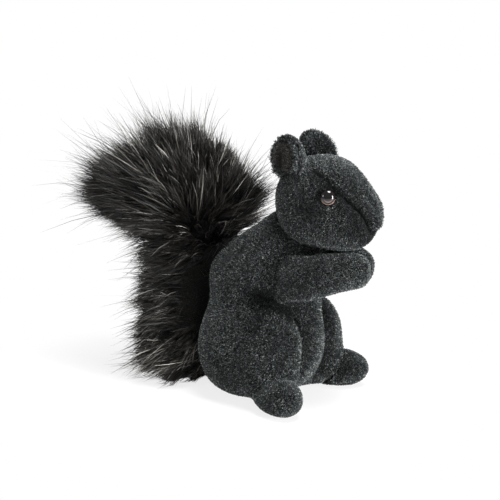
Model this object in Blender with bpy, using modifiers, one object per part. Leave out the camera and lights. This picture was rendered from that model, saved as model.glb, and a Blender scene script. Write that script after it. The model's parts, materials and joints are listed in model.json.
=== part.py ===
"""A seated plush squirrel with a long-pile tail, modelled piece by piece as it is sewn.

Metres, +Z up. The squirrel faces -Y and its right side is at -X. The origin is the middle of
the flat seat under the body. Each sewn, stuffed shell is one closed solid. Neighbours meet at a
seam, where the child piece is cut by its parent's own form, grown by the seam gap.
"""
import math

import bmesh
import bpy
import numpy as np
from mathutils import Matrix, Vector
from mathutils.bvhtree import BVHTree

# Driving dimensions, in metres
SEAM_GAP = 0.0003

BODY_WIDTH = 0.086
BODY_DEPTH = 0.082
BODY_HEIGHT = 0.088
BELLY_WIDTH = 0.058
CHEST_WIDTH = 0.062
CHEST_DEPTH = 0.076
CHEST_HEIGHT = 0.056
SHOULDER_HEIGHT = 0.096
NECK_WIDTH = 0.054
NECK_FORWARD = 0.020
HAUNCH_WIDTH = 0.040
HAUNCH_LENGTH = 0.068
LEG_DIAMETER = 0.032
LEG_SPACING = 0.058
LEG_FORWARD = 0.029
KNEE_HEIGHT = 0.061

HEAD_WIDTH = 0.053
HEAD_HEIGHT = 0.053
HEAD_DEPTH = 0.054
HEAD_FORWARD = 0.0435
JAW_HEIGHT = 0.102
MUZZLE_WIDTH = 0.034
MUZZLE_LENGTH = 0.0155
MUZZLE_HEIGHT = 0.030
CROWN_SEAM_DEPTH = 0.0016
CROWN_SEAM_WIDTH = 0.0026

EAR_WIDTH = 0.0238
EAR_HEIGHT = 0.0272
EAR_THICKNESS = 0.0056
EAR_CUP = 0.0056
EAR_INSET = 0.013
EAR_TURN = math.radians(5)
EAR_TILT = math.radians(10)
LINING_SHARE = 0.75
LINING_THICKNESS = 0.0016

EYE_DIAMETER = 0.0088
EYE_DOME = 0.0030
EYE_RIM = 0.0007
EYE_SINK = 0.0013
SHANK_DIAMETER = 0.0026
SHANK_LENGTH = 0.0085
WASHER_DIAMETER = 0.0080
WASHER_THICKNESS = 0.0011
WASHER_DEPTH = 0.0048
EYE_FORWARD = 0.0165
EYE_RISE = 0.0065
EYE_TURN = math.radians(32)
EYE_LIFT = math.radians(10)

ARM_DIAMETER = 0.0315
WRIST_DIAMETER = 0.0245
PAW_DIAMETER = 0.0215
PAW_REACH = 0.073
PAW_HEIGHT = 0.0905
LEFT_PAW_BACK = 0.004

FOOT_LENGTH = 0.046
FOOT_WIDTH = 0.027
FOOT_HEIGHT = 0.025
FOOT_SPACING = 0.070
FOOT_FORWARD = 0.035
FOOT_SPLAY = math.radians(24)

TAIL_WIDTH = 0.052
TAIL_DEPTH = 0.047
TAIL_SETBACK = 0.0585
CURL_HEIGHT = 0.103
PLUME_REACH = 0.048
PLUME_BACK = 0.051
PLUME_FRONT = 0.030
LOCK_LENGTH = 0.028
LOCK_ROWS = 19
LOCKS_PER_ROW = 14
LOCK_SEED = 7
TURNED_SIDES = 12

# Finishes: base colour, roughness, metallic
FINISHES = {
    "short_pile": ((0.035, 0.040, 0.041), 0.95, 0.0),
    "ear_nap": ((0.030, 0.026, 0.023), 0.92, 0.0),
    "long_pile": ((0.013, 0.012, 0.010), 0.60, 0.0),
    "eye_black": ((0.006, 0.005, 0.005), 0.08, 0.0),
    "washer_white": ((0.60, 0.60, 0.58), 0.45, 0.0),
}


def clear_scene():
    for old in list(bpy.data.objects):
        bpy.data.objects.remove(old, do_unlink=True)


def collection_named(name):
    found = bpy.data.collections.get(name)
    if found is None:
        found = bpy.data.collections.new(name)
        bpy.context.scene.collection.children.link(found)
    return found


def finish_for(node, finish):
    """Give each sub-part its own Principled material in the colour of its finish."""
    colour, roughness, metallic = FINISHES[finish]
    material = bpy.data.materials.new(node + "_" + finish)
    material.use_nodes = True
    shader = material.node_tree.nodes["Principled BSDF"]
    shader.inputs["Base Color"].default_value = (*colour, 1.0)
    shader.inputs["Roughness"].default_value = roughness
    shader.inputs["Metallic"].default_value = metallic
    return material


def new_object(name, bm, home, finish=None):
    """Turn a bmesh into an object with outward faces, smooth shading and its material."""
    bm.normal_update()
    bmesh.ops.recalc_face_normals(bm, faces=bm.faces)
    mesh = bpy.data.meshes.new(name)
    bm.to_mesh(mesh)
    bm.free()
    mesh.shade_smooth()
    obj = bpy.data.objects.new(name, mesh)
    home.objects.link(obj)
    if finish:
        mesh.materials.append(finish_for(name, finish))
    return obj


def as_cutter(obj):
    obj.hide_render = True
    obj.display_type = "WIRE"
    return obj


def subdivide(obj, levels=1):
    surface = obj.modifiers.new("soft form", "SUBSURF")
    surface.levels = levels
    surface.render_levels = levels


def seam_cutter(parent, cutters, gap=SEAM_GAP):
    """The parent's own form, grown by the seam gap, to cut its neighbours with."""
    grown = bpy.data.objects.new(parent.name + "_seam_form", parent.data)
    cutters.objects.link(grown)
    grown.matrix_world = parent.matrix_world
    for modifier in parent.modifiers:
        if modifier.type == "SUBSURF":
            subdivide(grown, modifier.levels)
    swell = grown.modifiers.new("seam gap", "DISPLACE")
    swell.strength = gap
    swell.mid_level = 0.0
    return as_cutter(grown)


def cut(obj, cutter, operation="DIFFERENCE"):
    step = obj.modifiers.new(operation.lower() + " " + cutter.name, "BOOLEAN")
    step.operation = operation
    step.solver = "EXACT"
    step.object = cutter
    return step


# Stuffed forms: a sphere whose points are pushed out to a smooth union of round volumes

def round_volume(points, centre, radii):
    """Signed distance, near enough, from the points to an ellipsoid."""
    offset = points - np.array(centre)
    radii = np.array(radii)
    near = np.linalg.norm(offset / radii, axis=1)
    slope = np.linalg.norm(offset / radii ** 2, axis=1)
    return near * (near - 1.0) / np.maximum(slope, 1e-9)


def limb_volume(points, start, end, radius):
    """Signed distance from the points to a round-ended limb."""
    start, end = np.array(start), np.array(end)
    along = end - start
    share = np.clip((points - start) @ along / (along @ along), 0.0, 1.0)
    return np.linalg.norm(points - (start + share[:, None] * along), axis=1) - radius


def smooth_union(distances, blend):
    total = distances[0]
    for distance in distances[1:]:
        overlap = np.maximum(blend - np.abs(total - distance), 0.0) / blend
        total = np.minimum(total, distance) - overlap ** 2 * blend / 4.0
    return total


def stuffed_form(distance_to, centre, segments, rings, pole, reach=0.12):
    """A sphere primitive pushed out along each ray until it meets the form."""
    bm = bmesh.new()
    turn = Vector((0, 0, 1)).rotation_difference(Vector(pole)).to_matrix().to_4x4()
    bmesh.ops.create_uvsphere(bm, u_segments=segments, v_segments=rings, radius=1.0, matrix=turn)
    rays = np.array([vert.co.normalized() for vert in bm.verts])
    middle = np.array(centre)
    inner, outer = np.zeros(len(rays)), np.full(len(rays), reach)
    for _ in range(40):
        half = (inner + outer) / 2.0
        outside = distance_to(middle + rays * half[:, None]) > 0.0
        outer = np.where(outside, half, outer)
        inner = np.where(outside, inner, half)
    for vert, ray, length in zip(bm.verts, rays, inner):
        vert.co = Vector(middle + ray * length)
    return bm


# Body

# The body's volumes lie on heights that are shares of its own height
BODY_LEAN = 0.004
BODY_CENTRE = (0.0, -BODY_LEAN, BODY_HEIGHT * 0.44)
CHEST_CENTRE = (0.0, -BODY_LEAN * 1.5, BODY_HEIGHT * 0.85)
NECK_CENTRE = (0.0, -NECK_FORWARD, SHOULDER_HEIGHT)
NECK_RISE = NECK_WIDTH * 0.37
HAUNCH_MIDDLE = BODY_HEIGHT * 0.365
HAUNCH_RISE = BODY_HEIGHT * 0.37
STUFFING_CENTRE = (0.0, -BODY_LEAN, BODY_HEIGHT * 0.6)
SOLE_SINK = 0.002
LIMB_BLEND = 0.002
BODY_BLEND = 0.012
TORSO_SEGMENTS = 22
TORSO_RINGS = 11


def body_volume(points):
    leg = LEG_DIAMETER / 2
    trunk = smooth_union([
        round_volume(points, BODY_CENTRE, (BELLY_WIDTH / 2, BODY_DEPTH / 2, BODY_HEIGHT / 2)),
        round_volume(points, CHEST_CENTRE, (CHEST_WIDTH / 2, CHEST_DEPTH / 2, CHEST_HEIGHT / 2)),
        round_volume(points, NECK_CENTRE, (NECK_WIDTH / 2, NECK_WIDTH / 2, NECK_RISE)),
    ], BODY_BLEND)
    haunches, legs = [], []
    for side in (-1, 1):
        haunch = (side * (BODY_WIDTH - HAUNCH_WIDTH) / 2, 0.0, HAUNCH_MIDDLE)
        haunches.append(round_volume(
            points, haunch, (HAUNCH_WIDTH / 2, HAUNCH_LENGTH / 2, HAUNCH_RISE)))
        heel = np.array((side * LEG_SPACING / 2, -LEG_FORWARD, leg - SOLE_SINK))
        knee = heel + (0.0, 0.0, KNEE_HEIGHT - LEG_DIAMETER + SOLE_SINK)
        legs.append(limb_volume(points, heel, knee, leg))
    trunk = smooth_union([trunk] + haunches, BODY_BLEND)
    return smooth_union([trunk] + legs, LIMB_BLEND)


def make_torso(home):
    """The body shell, whose underside build() cuts flat where it sits."""
    bm = stuffed_form(body_volume, STUFFING_CENTRE, TORSO_SEGMENTS, TORSO_RINGS, (0, 0, 1))
    torso = new_object("torso", bm, home, "short_pile")
    subdivide(torso)
    return torso


# Head

HEAD_CENTRE = (0.0, -HEAD_FORWARD, JAW_HEIGHT + HEAD_HEIGHT / 2)
NOSE_Y = -HEAD_FORWARD - HEAD_DEPTH / 2 - MUZZLE_LENGTH + 0.002
HEAD_BLEND = 0.009
HEAD_SEGMENTS = 20
HEAD_RINGS = 13

# Volumes of the face: width, length and height as radii, their front's setback from the nose
# and their drop from the head's middle
MUZZLE = (MUZZLE_WIDTH / 2, 0.0225, MUZZLE_HEIGHT * 0.53, 0.0015, 0.0045)
NOSE = (MUZZLE_WIDTH * 0.30, 0.0100, MUZZLE_HEIGHT * 0.36, 0.0, 0.0085)
CHIN = (MUZZLE_WIDTH * 0.46, 0.0190, HEAD_HEIGHT * 0.23, 0.0025, HEAD_HEIGHT * 0.27)
CHEEK = (HEAD_WIDTH * 0.275, HEAD_DEPTH * 0.41, HEAD_HEIGHT * 0.29)
CHEEK_ASIDE = HEAD_WIDTH * 0.235
CHEEK_FORWARD = 0.005
CHEEK_DROP = HEAD_HEIGHT * 0.22


def head_volume(points):
    """Skull, muzzle, nose and chin, and a full cheek on each side."""
    middle = HEAD_CENTRE[2]
    parts = [round_volume(points, HEAD_CENTRE, (HEAD_WIDTH / 2, HEAD_DEPTH / 2, HEAD_HEIGHT / 2))]
    for wide, long, high, setback, drop in (MUZZLE, NOSE, CHIN):
        centre = (0.0, NOSE_Y + setback + long, middle - drop)
        parts.append(round_volume(points, centre, (wide, long, high)))
    for side in (-1, 1):
        centre = (side * CHEEK_ASIDE, HEAD_CENTRE[1] - CHEEK_FORWARD, middle - CHEEK_DROP)
        parts.append(round_volume(points, centre, CHEEK))
    return smooth_union(parts, HEAD_BLEND)


CROWN_TIP_HALF = MUZZLE_WIDTH * 0.14
CROWN_FULL_HALF = MUZZLE_WIDTH * 0.58
CROWN_SEAM_END = 0.004
CROWN_SEAM_FADE = 0.006
CROWN_SEAM_SLOPE = 0.35


def crown_half_width(y):
    """Half the crown panel's width, from the nose back to the ears."""
    share = np.clip((y - NOSE_Y) / (-HEAD_FORWARD - NOSE_Y), 0.0, 1.0)
    return CROWN_TIP_HALF + (CROWN_FULL_HALF - CROWN_TIP_HALF) * np.sin(share * math.pi / 2)


def sink_crown_seam(bm):
    """Draw the two crown seams into the surface, from the ears to the sides of the nose."""
    centre = Vector(HEAD_CENTRE)
    lowest = centre.z - HEAD_HEIGHT * 0.20
    for vert in bm.verts:
        x, y, z = vert.co
        above = z - (lowest + (y - NOSE_Y) * CROWN_SEAM_SLOPE)
        if y > CROWN_SEAM_END - HEAD_FORWARD or above < 0.0:
            continue
        beside = (abs(x) - crown_half_width(y)) / CROWN_SEAM_WIDTH
        fade = min(1.0, above / CROWN_SEAM_FADE)
        vert.co += (centre - vert.co).normalized() * CROWN_SEAM_DEPTH * fade * math.exp(-beside ** 2)


def make_head(home):
    bm = stuffed_form(head_volume, HEAD_CENTRE, HEAD_SEGMENTS, HEAD_RINGS, (0, 1, 0))
    sink_crown_seam(bm)
    head = new_object("head", bm, home, "short_pile")
    subdivide(head)
    return head


# Arms and feet

def smooth_path(points, count):
    """Points evenly spread on a Catmull-Rom curve through the given points."""
    knots = [Vector(point) for point in points]
    knots = [knots[0] * 2 - knots[1]] + knots + [knots[-1] * 2 - knots[-2]]
    spans = len(knots) - 3
    path = []
    for index in range(count):
        at = index / (count - 1) * spans
        span = min(int(at), spans - 1)
        t = at - span
        a, b, c, d = knots[span:span + 4]
        path.append(0.5 * (2 * b + (c - a) * t + (2 * a - 5 * b + 4 * c - d) * t ** 2
                           + (3 * b - 3 * c + d - a) * t ** 3))
    return path


def smooth_values(values, count):
    return [point.x for point in smooth_path([(value, 0, 0) for value in values], count)]


def loft(sections):
    """A closed skin over rings of points, with a flat face on the first and the last."""
    bm = bmesh.new()
    rings = [[bm.verts.new(point) for point in section] for section in sections]
    for ring, after in zip(rings, rings[1:]):
        for step in range(len(ring)):
            nxt = (step + 1) % len(ring)
            bm.faces.new((ring[step], ring[nxt], after[nxt], after[step]))
    bm.faces.new(rings[0])
    bm.faces.new(rings[-1])
    bmesh.ops.recalc_face_normals(bm, faces=bm.faces)
    return bm


def round_sections(path, radii, sides):
    """Round rings square to the path."""
    sections = []
    for index, point in enumerate(path):
        before, after = path[max(index - 1, 0)], path[min(index + 1, len(path) - 1)]
        along = (after - before).normalized()
        side = (Vector((1, 0, 0)) - along * along.x).normalized() * radii[index]
        up = along.cross(side)
        angles = [2 * math.pi * step / sides for step in range(sides)]
        sections.append([point + side * math.cos(angle) + up * math.sin(angle) for angle in angles])
    return sections


ARM_SECTIONS = 8
ARM_SIDES = 8

# The paw's round end: how far each ring leads the one before, and its size, as shares of the paw
PAW_END = ((0.48, 0.84), (0.36, 0.46))


def make_arm(name, side, home):
    """A stuffed tube from inside the shoulder, round the chest, to the paw at the middle."""
    back = LEFT_PAW_BACK if side > 0 else 0.0
    chest, front = side * CHEST_WIDTH / 2, CHEST_CENTRE[1]
    arm, wrist, paw = ARM_DIAMETER / 2, WRIST_DIAMETER / 2, PAW_DIAMETER / 2
    elbow_height = PAW_HEIGHT - arm * 0.45
    shoulder = (chest * 0.36, front - 0.004, SHOULDER_HEIGHT - 0.011)
    upper_arm = (chest * 0.68, front - 0.016, SHOULDER_HEIGHT - 0.014)
    elbow = (chest * 0.98, front - 0.030, elbow_height)
    forearm = (chest * 0.74, -PAW_REACH + 0.020, elbow_height + 0.0025)
    paw_root = (side * paw, -PAW_REACH + 0.008 + back, PAW_HEIGHT)
    paw_tip = (side * paw * 0.52, -PAW_REACH + back, PAW_HEIGHT + 0.001)
    route = [shoulder, upper_arm, elbow, forearm, paw_root, paw_tip]
    thick = [arm * 0.55, arm * 0.86, arm * 1.03, wrist * 1.05, paw * 1.02, paw]
    path = smooth_path(route, ARM_SECTIONS)
    radii = smooth_values(thick, ARM_SECTIONS)
    heading = (path[-1] - path[-2]).normalized()
    for lead, share in PAW_END:
        path.append(path[-1] + heading * paw * lead)
        radii.append(paw * share)
    path.insert(0, path[0] + (path[0] - path[1]).normalized() * arm * 0.45)
    radii.insert(0, arm * 0.50)
    bm = loft(round_sections(path, radii, ARM_SIDES))
    limb = new_object(name, bm, home, "short_pile")
    subdivide(limb)
    return limb


# How far the foot's middle stands over the sole, as a share of half its height, and how much
# wider and higher it is at the toes
SOLE_DROP = 0.80
TOES_WIDER = 0.10
TOES_HIGHER = 0.06


def make_foot(name, side, home):
    """A round pouch with a flat sole, fuller at the toes, splayed outwards."""
    bm = bmesh.new()
    bmesh.ops.create_uvsphere(bm, u_segments=10, v_segments=7, radius=1.0,
                              matrix=Matrix.Rotation(math.pi / 2, 4, "X"))
    turn = Matrix.Rotation(side * FOOT_SPLAY, 4, "Z")
    place = Vector((side * FOOT_SPACING / 2, -FOOT_FORWARD, 0.0))
    for vert in bm.verts:
        x, y, z = vert.co
        toes = max(0.0, -y)
        wide = FOOT_WIDTH / 2 * (1.0 + TOES_WIDER * toes)
        high = (z * (1.0 + TOES_HIGHER * toes) + SOLE_DROP) / (1.0 + SOLE_DROP)
        local = Vector((x * wide, y * FOOT_LENGTH / 2, high * FOOT_HEIGHT))
        vert.co = place + turn @ local
    foot = new_object(name, bm, home, "short_pile")
    subdivide(foot)
    return foot


def block(name, centre, size, cutters):
    bm = bmesh.new()
    bmesh.ops.create_cube(bm, size=size, matrix=Matrix.Translation(centre))
    return as_cutter(new_object(name, bm, cutters))


def below_floor(cutters):
    """A block under the floor, which presses the soles and the seat flat."""
    size = BODY_HEIGHT * 4
    return block("below_floor", (0.0, 0.0, -size / 2), size, cutters)


def other_side(side, cutters):
    """A block over all that lies past the middle plane, which a paw may not cross."""
    size = PAW_REACH * 2
    centre = (-side * (size - SEAM_GAP) / 2, -PAW_REACH, PAW_HEIGHT)
    return block("middle_plane_left" if side < 0 else "middle_plane_right", centre, size, cutters)


# Ears

EAR_SPACING = HEAD_WIDTH - 2 * EAR_INSET
EAR_BACK = HEAD_DEPTH * 0.21
EAR_RISE = HEAD_HEIGHT * 0.47
CUP_UPRIGHT_SHARE = 0.7


def ear_frame(side):
    """Local axes of an ear: X through the cup's opening, Y across, Z up to the tip."""
    root = Vector((side * EAR_SPACING / 2, HEAD_CENTRE[1] + EAR_BACK, HEAD_CENTRE[2] + EAR_RISE))
    turn = Matrix.Rotation(side * EAR_TURN, 4, "Z") @ Matrix.Rotation(-side * EAR_TILT, 4, "Y")
    mirror = Matrix.Diagonal((side, 1, 1, 1))
    return Matrix.Translation(root) @ turn @ mirror


def cupped_disc(width, height, thickness, cup, shift, frame, segments, rings):
    """A flattened sphere bent into a shallow cup whose hollow opens along local +X."""
    bm = bmesh.new()
    bmesh.ops.create_uvsphere(bm, u_segments=segments, v_segments=rings, radius=1.0,
                              matrix=Matrix.Rotation(math.pi / 2, 4, "Y"))
    for vert in bm.verts:
        x, y, z = vert.co
        across, upright = y * width / EAR_WIDTH, z * height / EAR_HEIGHT
        bend = cup * (across ** 2 + CUP_UPRIGHT_SHARE * upright ** 2)
        local = Vector((x * thickness / 2 + bend + shift, y * width / 2, z * height / 2))
        vert.co = frame @ local
    return bm


def make_ear(name, side, home):
    bm = cupped_disc(EAR_WIDTH, EAR_HEIGHT, EAR_THICKNESS, EAR_CUP, 0.0, ear_frame(side), 16, 10)
    return new_object(name, bm, home, "short_pile")


def make_lining(name, side, home):
    raised = EAR_THICKNESS / 2
    bm = cupped_disc(EAR_WIDTH * LINING_SHARE, EAR_HEIGHT * LINING_SHARE, LINING_THICKNESS * 2,
                     EAR_CUP, raised, ear_frame(side), 12, 6)
    return new_object(name, bm, home, "ear_nap")


# Eyes

def eye_place(head, side):
    """Where the eye's back rests on the head, and the direction that it looks in."""
    graph = bpy.context.evaluated_depsgraph_get()
    skin = BVHTree.FromObject(head, graph)
    look = Vector((side * math.cos(EYE_TURN), -math.sin(EYE_TURN), math.sin(EYE_LIFT))).normalized()
    target = Vector((0.0, HEAD_CENTRE[1] - EYE_FORWARD, HEAD_CENTRE[2] + EYE_RISE))
    inward = Vector((-side, 0, 0))
    point = skin.ray_cast(target - inward * HEAD_WIDTH, inward)[0] - look * EYE_SINK
    turn = Vector((0, 0, 1)).rotation_difference(look).to_matrix().to_4x4()
    return Matrix.Translation(point) @ turn


def turned(name, profile, home, finish, closed=False):
    """A turned piece: its profile starts and ends on the local Z axis, or closes on itself."""
    bm = bmesh.new()
    verts = [bm.verts.new((radius, 0.0, height)) for radius, height in profile]
    for start, end in zip(verts, verts[1:] + verts[:1] if closed else verts[1:]):
        bm.edges.new((start, end))
    mesh = bpy.data.meshes.new(name)
    bm.to_mesh(mesh)
    bm.free()
    obj = bpy.data.objects.new(name, mesh)
    home.objects.link(obj)
    screw = obj.modifiers.new("turning", "SCREW")
    screw.steps = TURNED_SIDES
    screw.render_steps = TURNED_SIDES
    screw.axis = "Z"
    screw.use_merge_vertices = True
    screw.merge_threshold = 0.00001
    if finish:
        mesh.materials.append(finish_for(name, finish))
    return obj


DOME_SHARE = 0.93
DOME_ANGLES = (20, 42, 66, 90)
SHANK_CHAMFER = 0.0005


def eye_profile():
    """Dome, rim and shank of a safety eye, from its crown down to the shank's end."""
    eye, shank = EYE_DIAMETER / 2, SHANK_DIAMETER / 2
    dome = [(0.0, EYE_RIM + EYE_DOME)]
    for angle in (math.radians(degrees) for degrees in DOME_ANGLES):
        dome.append((eye * DOME_SHARE * math.sin(angle), EYE_RIM + EYE_DOME * math.cos(angle)))
    rim = [(eye, EYE_RIM * 0.7), (eye, 0.0)]
    stem = [(shank, 0.0), (shank, SHANK_CHAMFER - SHANK_LENGTH),
            (shank - SHANK_CHAMFER, -SHANK_LENGTH), (0.0, -SHANK_LENGTH)]
    return dome + rim + stem


def make_eye(name, place, home):
    eye = turned(name, eye_profile(), home, "eye_black")
    eye.matrix_world = place
    return eye


def make_washer(name, place, home):
    bore = SHANK_DIAMETER / 2 + SEAM_GAP
    top, low, outer = -WASHER_DEPTH, -WASHER_DEPTH - WASHER_THICKNESS, WASHER_DIAMETER / 2
    profile = [(bore, top), (outer, top), (outer, low), (bore, low)]
    washer = turned(name, profile, home, "washer_white", closed=True)
    washer.matrix_world = place
    return washer


def eye_pocket(name, place, cutters):
    """The room that the eye takes in the head: its seat, the shank's hole and the washer's."""
    eye, shank, washer = EYE_DIAMETER / 2, SHANK_DIAMETER / 2, WASHER_DIAMETER / 2
    top, low = -WASHER_DEPTH + SEAM_GAP, -WASHER_DEPTH - WASHER_THICKNESS - SEAM_GAP
    end = -SHANK_LENGTH - SEAM_GAP
    hole = shank + SEAM_GAP
    profile = [(0.0, EYE_DOME * 2), (eye + SEAM_GAP, EYE_DOME * 2), (eye + SEAM_GAP, -SEAM_GAP),
               (hole, -SEAM_GAP), (hole, top), (washer + SEAM_GAP, top),
               (washer + SEAM_GAP, low), (hole, low), (hole, end), (0.0, end)]
    pocket = turned(name, profile, cutters, None)
    pocket.matrix_world = place
    return as_cutter(pocket)


# Tail

def tail_edges():
    """Front and back edges of the dense pile, and its half width, from the root to the tip.

    The tail leaves the low back, stands up behind the body and opens at the top into a plume
    that curls back. The front edge runs round the outside of the curl, the back edge inside it.
    Each row holds the front edge's y and z, the back edge's y and z, and a share of the width.
    """
    front, back = TAIL_SETBACK - TAIL_DEPTH / 2, TAIL_SETBACK + TAIL_DEPTH / 2
    low, curl, top = TAIL_DEPTH, CURL_HEIGHT, CURL_HEIGHT + PLUME_REACH
    rise, lean, trail = PLUME_REACH, PLUME_FRONT, PLUME_BACK
    return [
        (front - 0.018, low * 0.65, front - 0.018, 0.004, 0.60),
        (front - 0.004, low * 0.75, front, 0.0, 0.95),
        (front + 0.002, low * 0.98, back - 0.014, 0.0, 1.14),
        (front + 0.001, low * 1.26, back - 0.001, low * 0.34, 1.12),
        (front, low * 1.53, back, low * 0.80, 1.06),
        (front - 0.003, low * 1.78, back, low * 1.24, 1.00),
        (front - 0.010, curl - 0.006, back - 0.001, low * 1.58, 0.98),
        (front - lean * 0.52, curl + 0.008, back - 0.001, curl - 0.016, 1.00),
        (front - lean * 0.50, curl + rise * 0.50, back + 0.001, curl - 0.009, 1.04),
        (front - lean * 0.10, curl + rise * 0.86, back + 0.006, curl - 0.005, 1.06),
        (front + 0.010, top, back + trail * 0.30, curl - 0.001, 1.06),
        (back - 0.010, top - 0.003, back + trail * 0.46, curl + 0.002, 1.00),
        (back + trail * 0.26, top - rise * 0.26, back + trail * 0.60, curl + 0.006, 0.84),
        (back + trail * 0.60, top - rise * 0.52, back + trail * 0.70, curl + 0.010, 0.50),
    ]


def tail_sections():
    """Rings of the dense pile, each an ellipse from the front edge to the back edge."""
    stations = tail_edges()
    count = LOCK_ROWS + 1
    fronts = smooth_path([(0, y, z) for y, z, _, _, _ in stations], count)
    backs = smooth_path([(0, y, z) for _, _, y, z, _ in stations], count)
    widths = smooth_values([share * TAIL_WIDTH / 2 for *_, share in stations], count)
    sections = []
    for front, back, width in zip(fronts, backs, widths):
        middle, deep = (front + back) / 2, (front - back) / 2
        angles = [2 * math.pi * step / LOCKS_PER_ROW for step in range(LOCKS_PER_ROW)]
        ring = [middle + Vector((width * math.cos(angle), 0, 0)) + deep * math.sin(angle) for angle in angles]
        sections.append([Vector((point.x, point.y, max(point.z, 0.0))) for point in ring])
    return sections


SPINE_Y = TAIL_SETBACK - 0.004
FAN_HEIGHT = CURL_HEIGHT - 0.008
PILE_DROOP = 0.30

# How far out a lock's shoulder is and how wide it is there, low on the tail and on the curl
LOCK_SHOULDER = (0.45, 0.58)
LOCK_WAIST = (0.66, 0.86)
SHORT_LOCK_SHARE = 0.42
CURL_START = CURL_HEIGHT * 0.60
CURL_END = CURL_HEIGHT * 1.05


def pile_direction(point):
    """Which way the long pile points: out from the spine and drooping, fanned out over the curl."""
    outward = point - Vector((0, SPINE_Y, min(point.z, FAN_HEIGHT)))
    droop = PILE_DROOP * min(1.0, max(0.0, 1.0 - point.z / CURL_HEIGHT))
    return (outward.normalized() - Vector((0, 0, droop))).normalized()


def draw_out_locks(bm):
    """Draw every face of the tail out into a tapering lock of pile.

    Faces that look at the body stay plain, because the pile is pressed flat there.
    """
    rng = np.random.default_rng(LOCK_SEED)
    for face in list(bm.faces):
        root = face.calc_center_median()
        lean = pile_direction(root)
        reach = LOCK_LENGTH * rng.uniform(0.80, 1.15)
        curled = min(1.0, max(0.0, (root.z - CURL_START) / (CURL_END - CURL_START)))
        length = reach * (SHORT_LOCK_SHARE + (1.0 - SHORT_LOCK_SHARE) * curled)
        shoulder = LOCK_SHOULDER[0] + (LOCK_SHOULDER[1] - LOCK_SHOULDER[0]) * curled
        waist = LOCK_WAIST[0] + (LOCK_WAIST[1] - LOCK_WAIST[0]) * curled
        faces_body = lean.y < -0.25 and abs(lean.x) < 0.75 and root.z < CURL_HEIGHT * 0.9
        if len(face.verts) > 4 or faces_body or root.z + lean.z * length < SEAM_GAP:
            continue
        drawn = bmesh.ops.extrude_discrete_faces(bm, faces=[face])["faces"][0]
        for vert in drawn.verts:
            vert.co = root + (vert.co - root) * waist + lean * length * shoulder
        tip = bmesh.ops.poke(bm, faces=[drawn])["verts"][0]
        tip.co = root + lean * length


def make_tail(home):
    bm = loft(tail_sections())
    draw_out_locks(bm)
    return new_object("tail", bm, home, "long_pile")


def build():
    clear_scene()
    parts = collection_named("plush_squirrel")
    cutters = collection_named("cutters")

    torso = make_torso(parts)
    head = make_head(parts)
    torso_form = seam_cutter(torso, cutters)
    head_form = seam_cutter(head, cutters)
    floor = below_floor(cutters)
    cut(torso, floor)
    cut(torso, head_form)

    for side, word in ((-1, "right"), (1, "left")):
        arm = make_arm(word + "_arm", side, parts)
        cut(arm, other_side(side, cutters))
        cut(arm, torso_form)
        cut(arm, head_form)
        foot = make_foot(word + "_foot", side, parts)
        cut(foot, floor)
        cut(foot, torso_form)
        ear = make_ear(word + "_ear", side, parts)
        ear_form = seam_cutter(ear, cutters)
        cut(ear, head_form)
        lining = make_lining(word + "_ear_lining", side, parts)
        cut(lining, ear_form)
        cut(lining, head_form)
        place = eye_place(head_form, side)
        make_eye(word + "_eye", place, parts)
        make_washer(word + "_eye_washer", place, parts)
        cut(head, eye_pocket(word + "_eye_pocket", place, cutters))

    tail = make_tail(parts)
    cut(tail, torso_form)
    cut(tail, head_form)


build()
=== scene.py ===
import json
import math

import bmesh
import bpy
import numpy as np
from mathutils import Matrix, Vector
from mathutils.bvhtree import BVHTree

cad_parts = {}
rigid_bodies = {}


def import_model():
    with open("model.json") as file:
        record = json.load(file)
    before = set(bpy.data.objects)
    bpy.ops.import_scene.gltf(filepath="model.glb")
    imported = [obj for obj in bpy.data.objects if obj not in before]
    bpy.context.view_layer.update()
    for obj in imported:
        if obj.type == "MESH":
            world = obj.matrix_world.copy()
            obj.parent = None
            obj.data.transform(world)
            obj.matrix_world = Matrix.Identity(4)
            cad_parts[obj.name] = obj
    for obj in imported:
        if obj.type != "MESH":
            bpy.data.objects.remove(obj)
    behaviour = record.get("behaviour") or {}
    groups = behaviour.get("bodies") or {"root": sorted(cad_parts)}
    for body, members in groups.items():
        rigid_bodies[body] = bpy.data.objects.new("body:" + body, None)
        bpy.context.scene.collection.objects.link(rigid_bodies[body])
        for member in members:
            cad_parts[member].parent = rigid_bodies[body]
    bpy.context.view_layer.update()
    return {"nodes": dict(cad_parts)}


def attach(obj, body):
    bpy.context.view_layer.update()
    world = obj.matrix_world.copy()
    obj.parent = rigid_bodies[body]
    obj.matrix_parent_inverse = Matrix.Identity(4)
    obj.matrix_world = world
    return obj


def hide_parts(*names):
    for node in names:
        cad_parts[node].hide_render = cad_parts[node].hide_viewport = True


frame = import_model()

# %% [markdown]
# # A plush squirrel with a long-pile tail
# The solids that were just loaded give every piece its place and its size. This lesson dresses
# them: each sewn shell gets a soft, stuffed skin, short pile grows on the skins, and the tail gets
# thousands of long strands.

# %% [markdown]
# ## Node trees written as expressions
# Both shaders and Geometry Nodes are trees of small sums. We could add each Math node by hand, but
# a class that wraps a socket and overloads Python's operators lets us write `1 - mask * 2` and get
# the nodes for it. A sum that has a vector in it becomes a Vector Math node.

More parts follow.
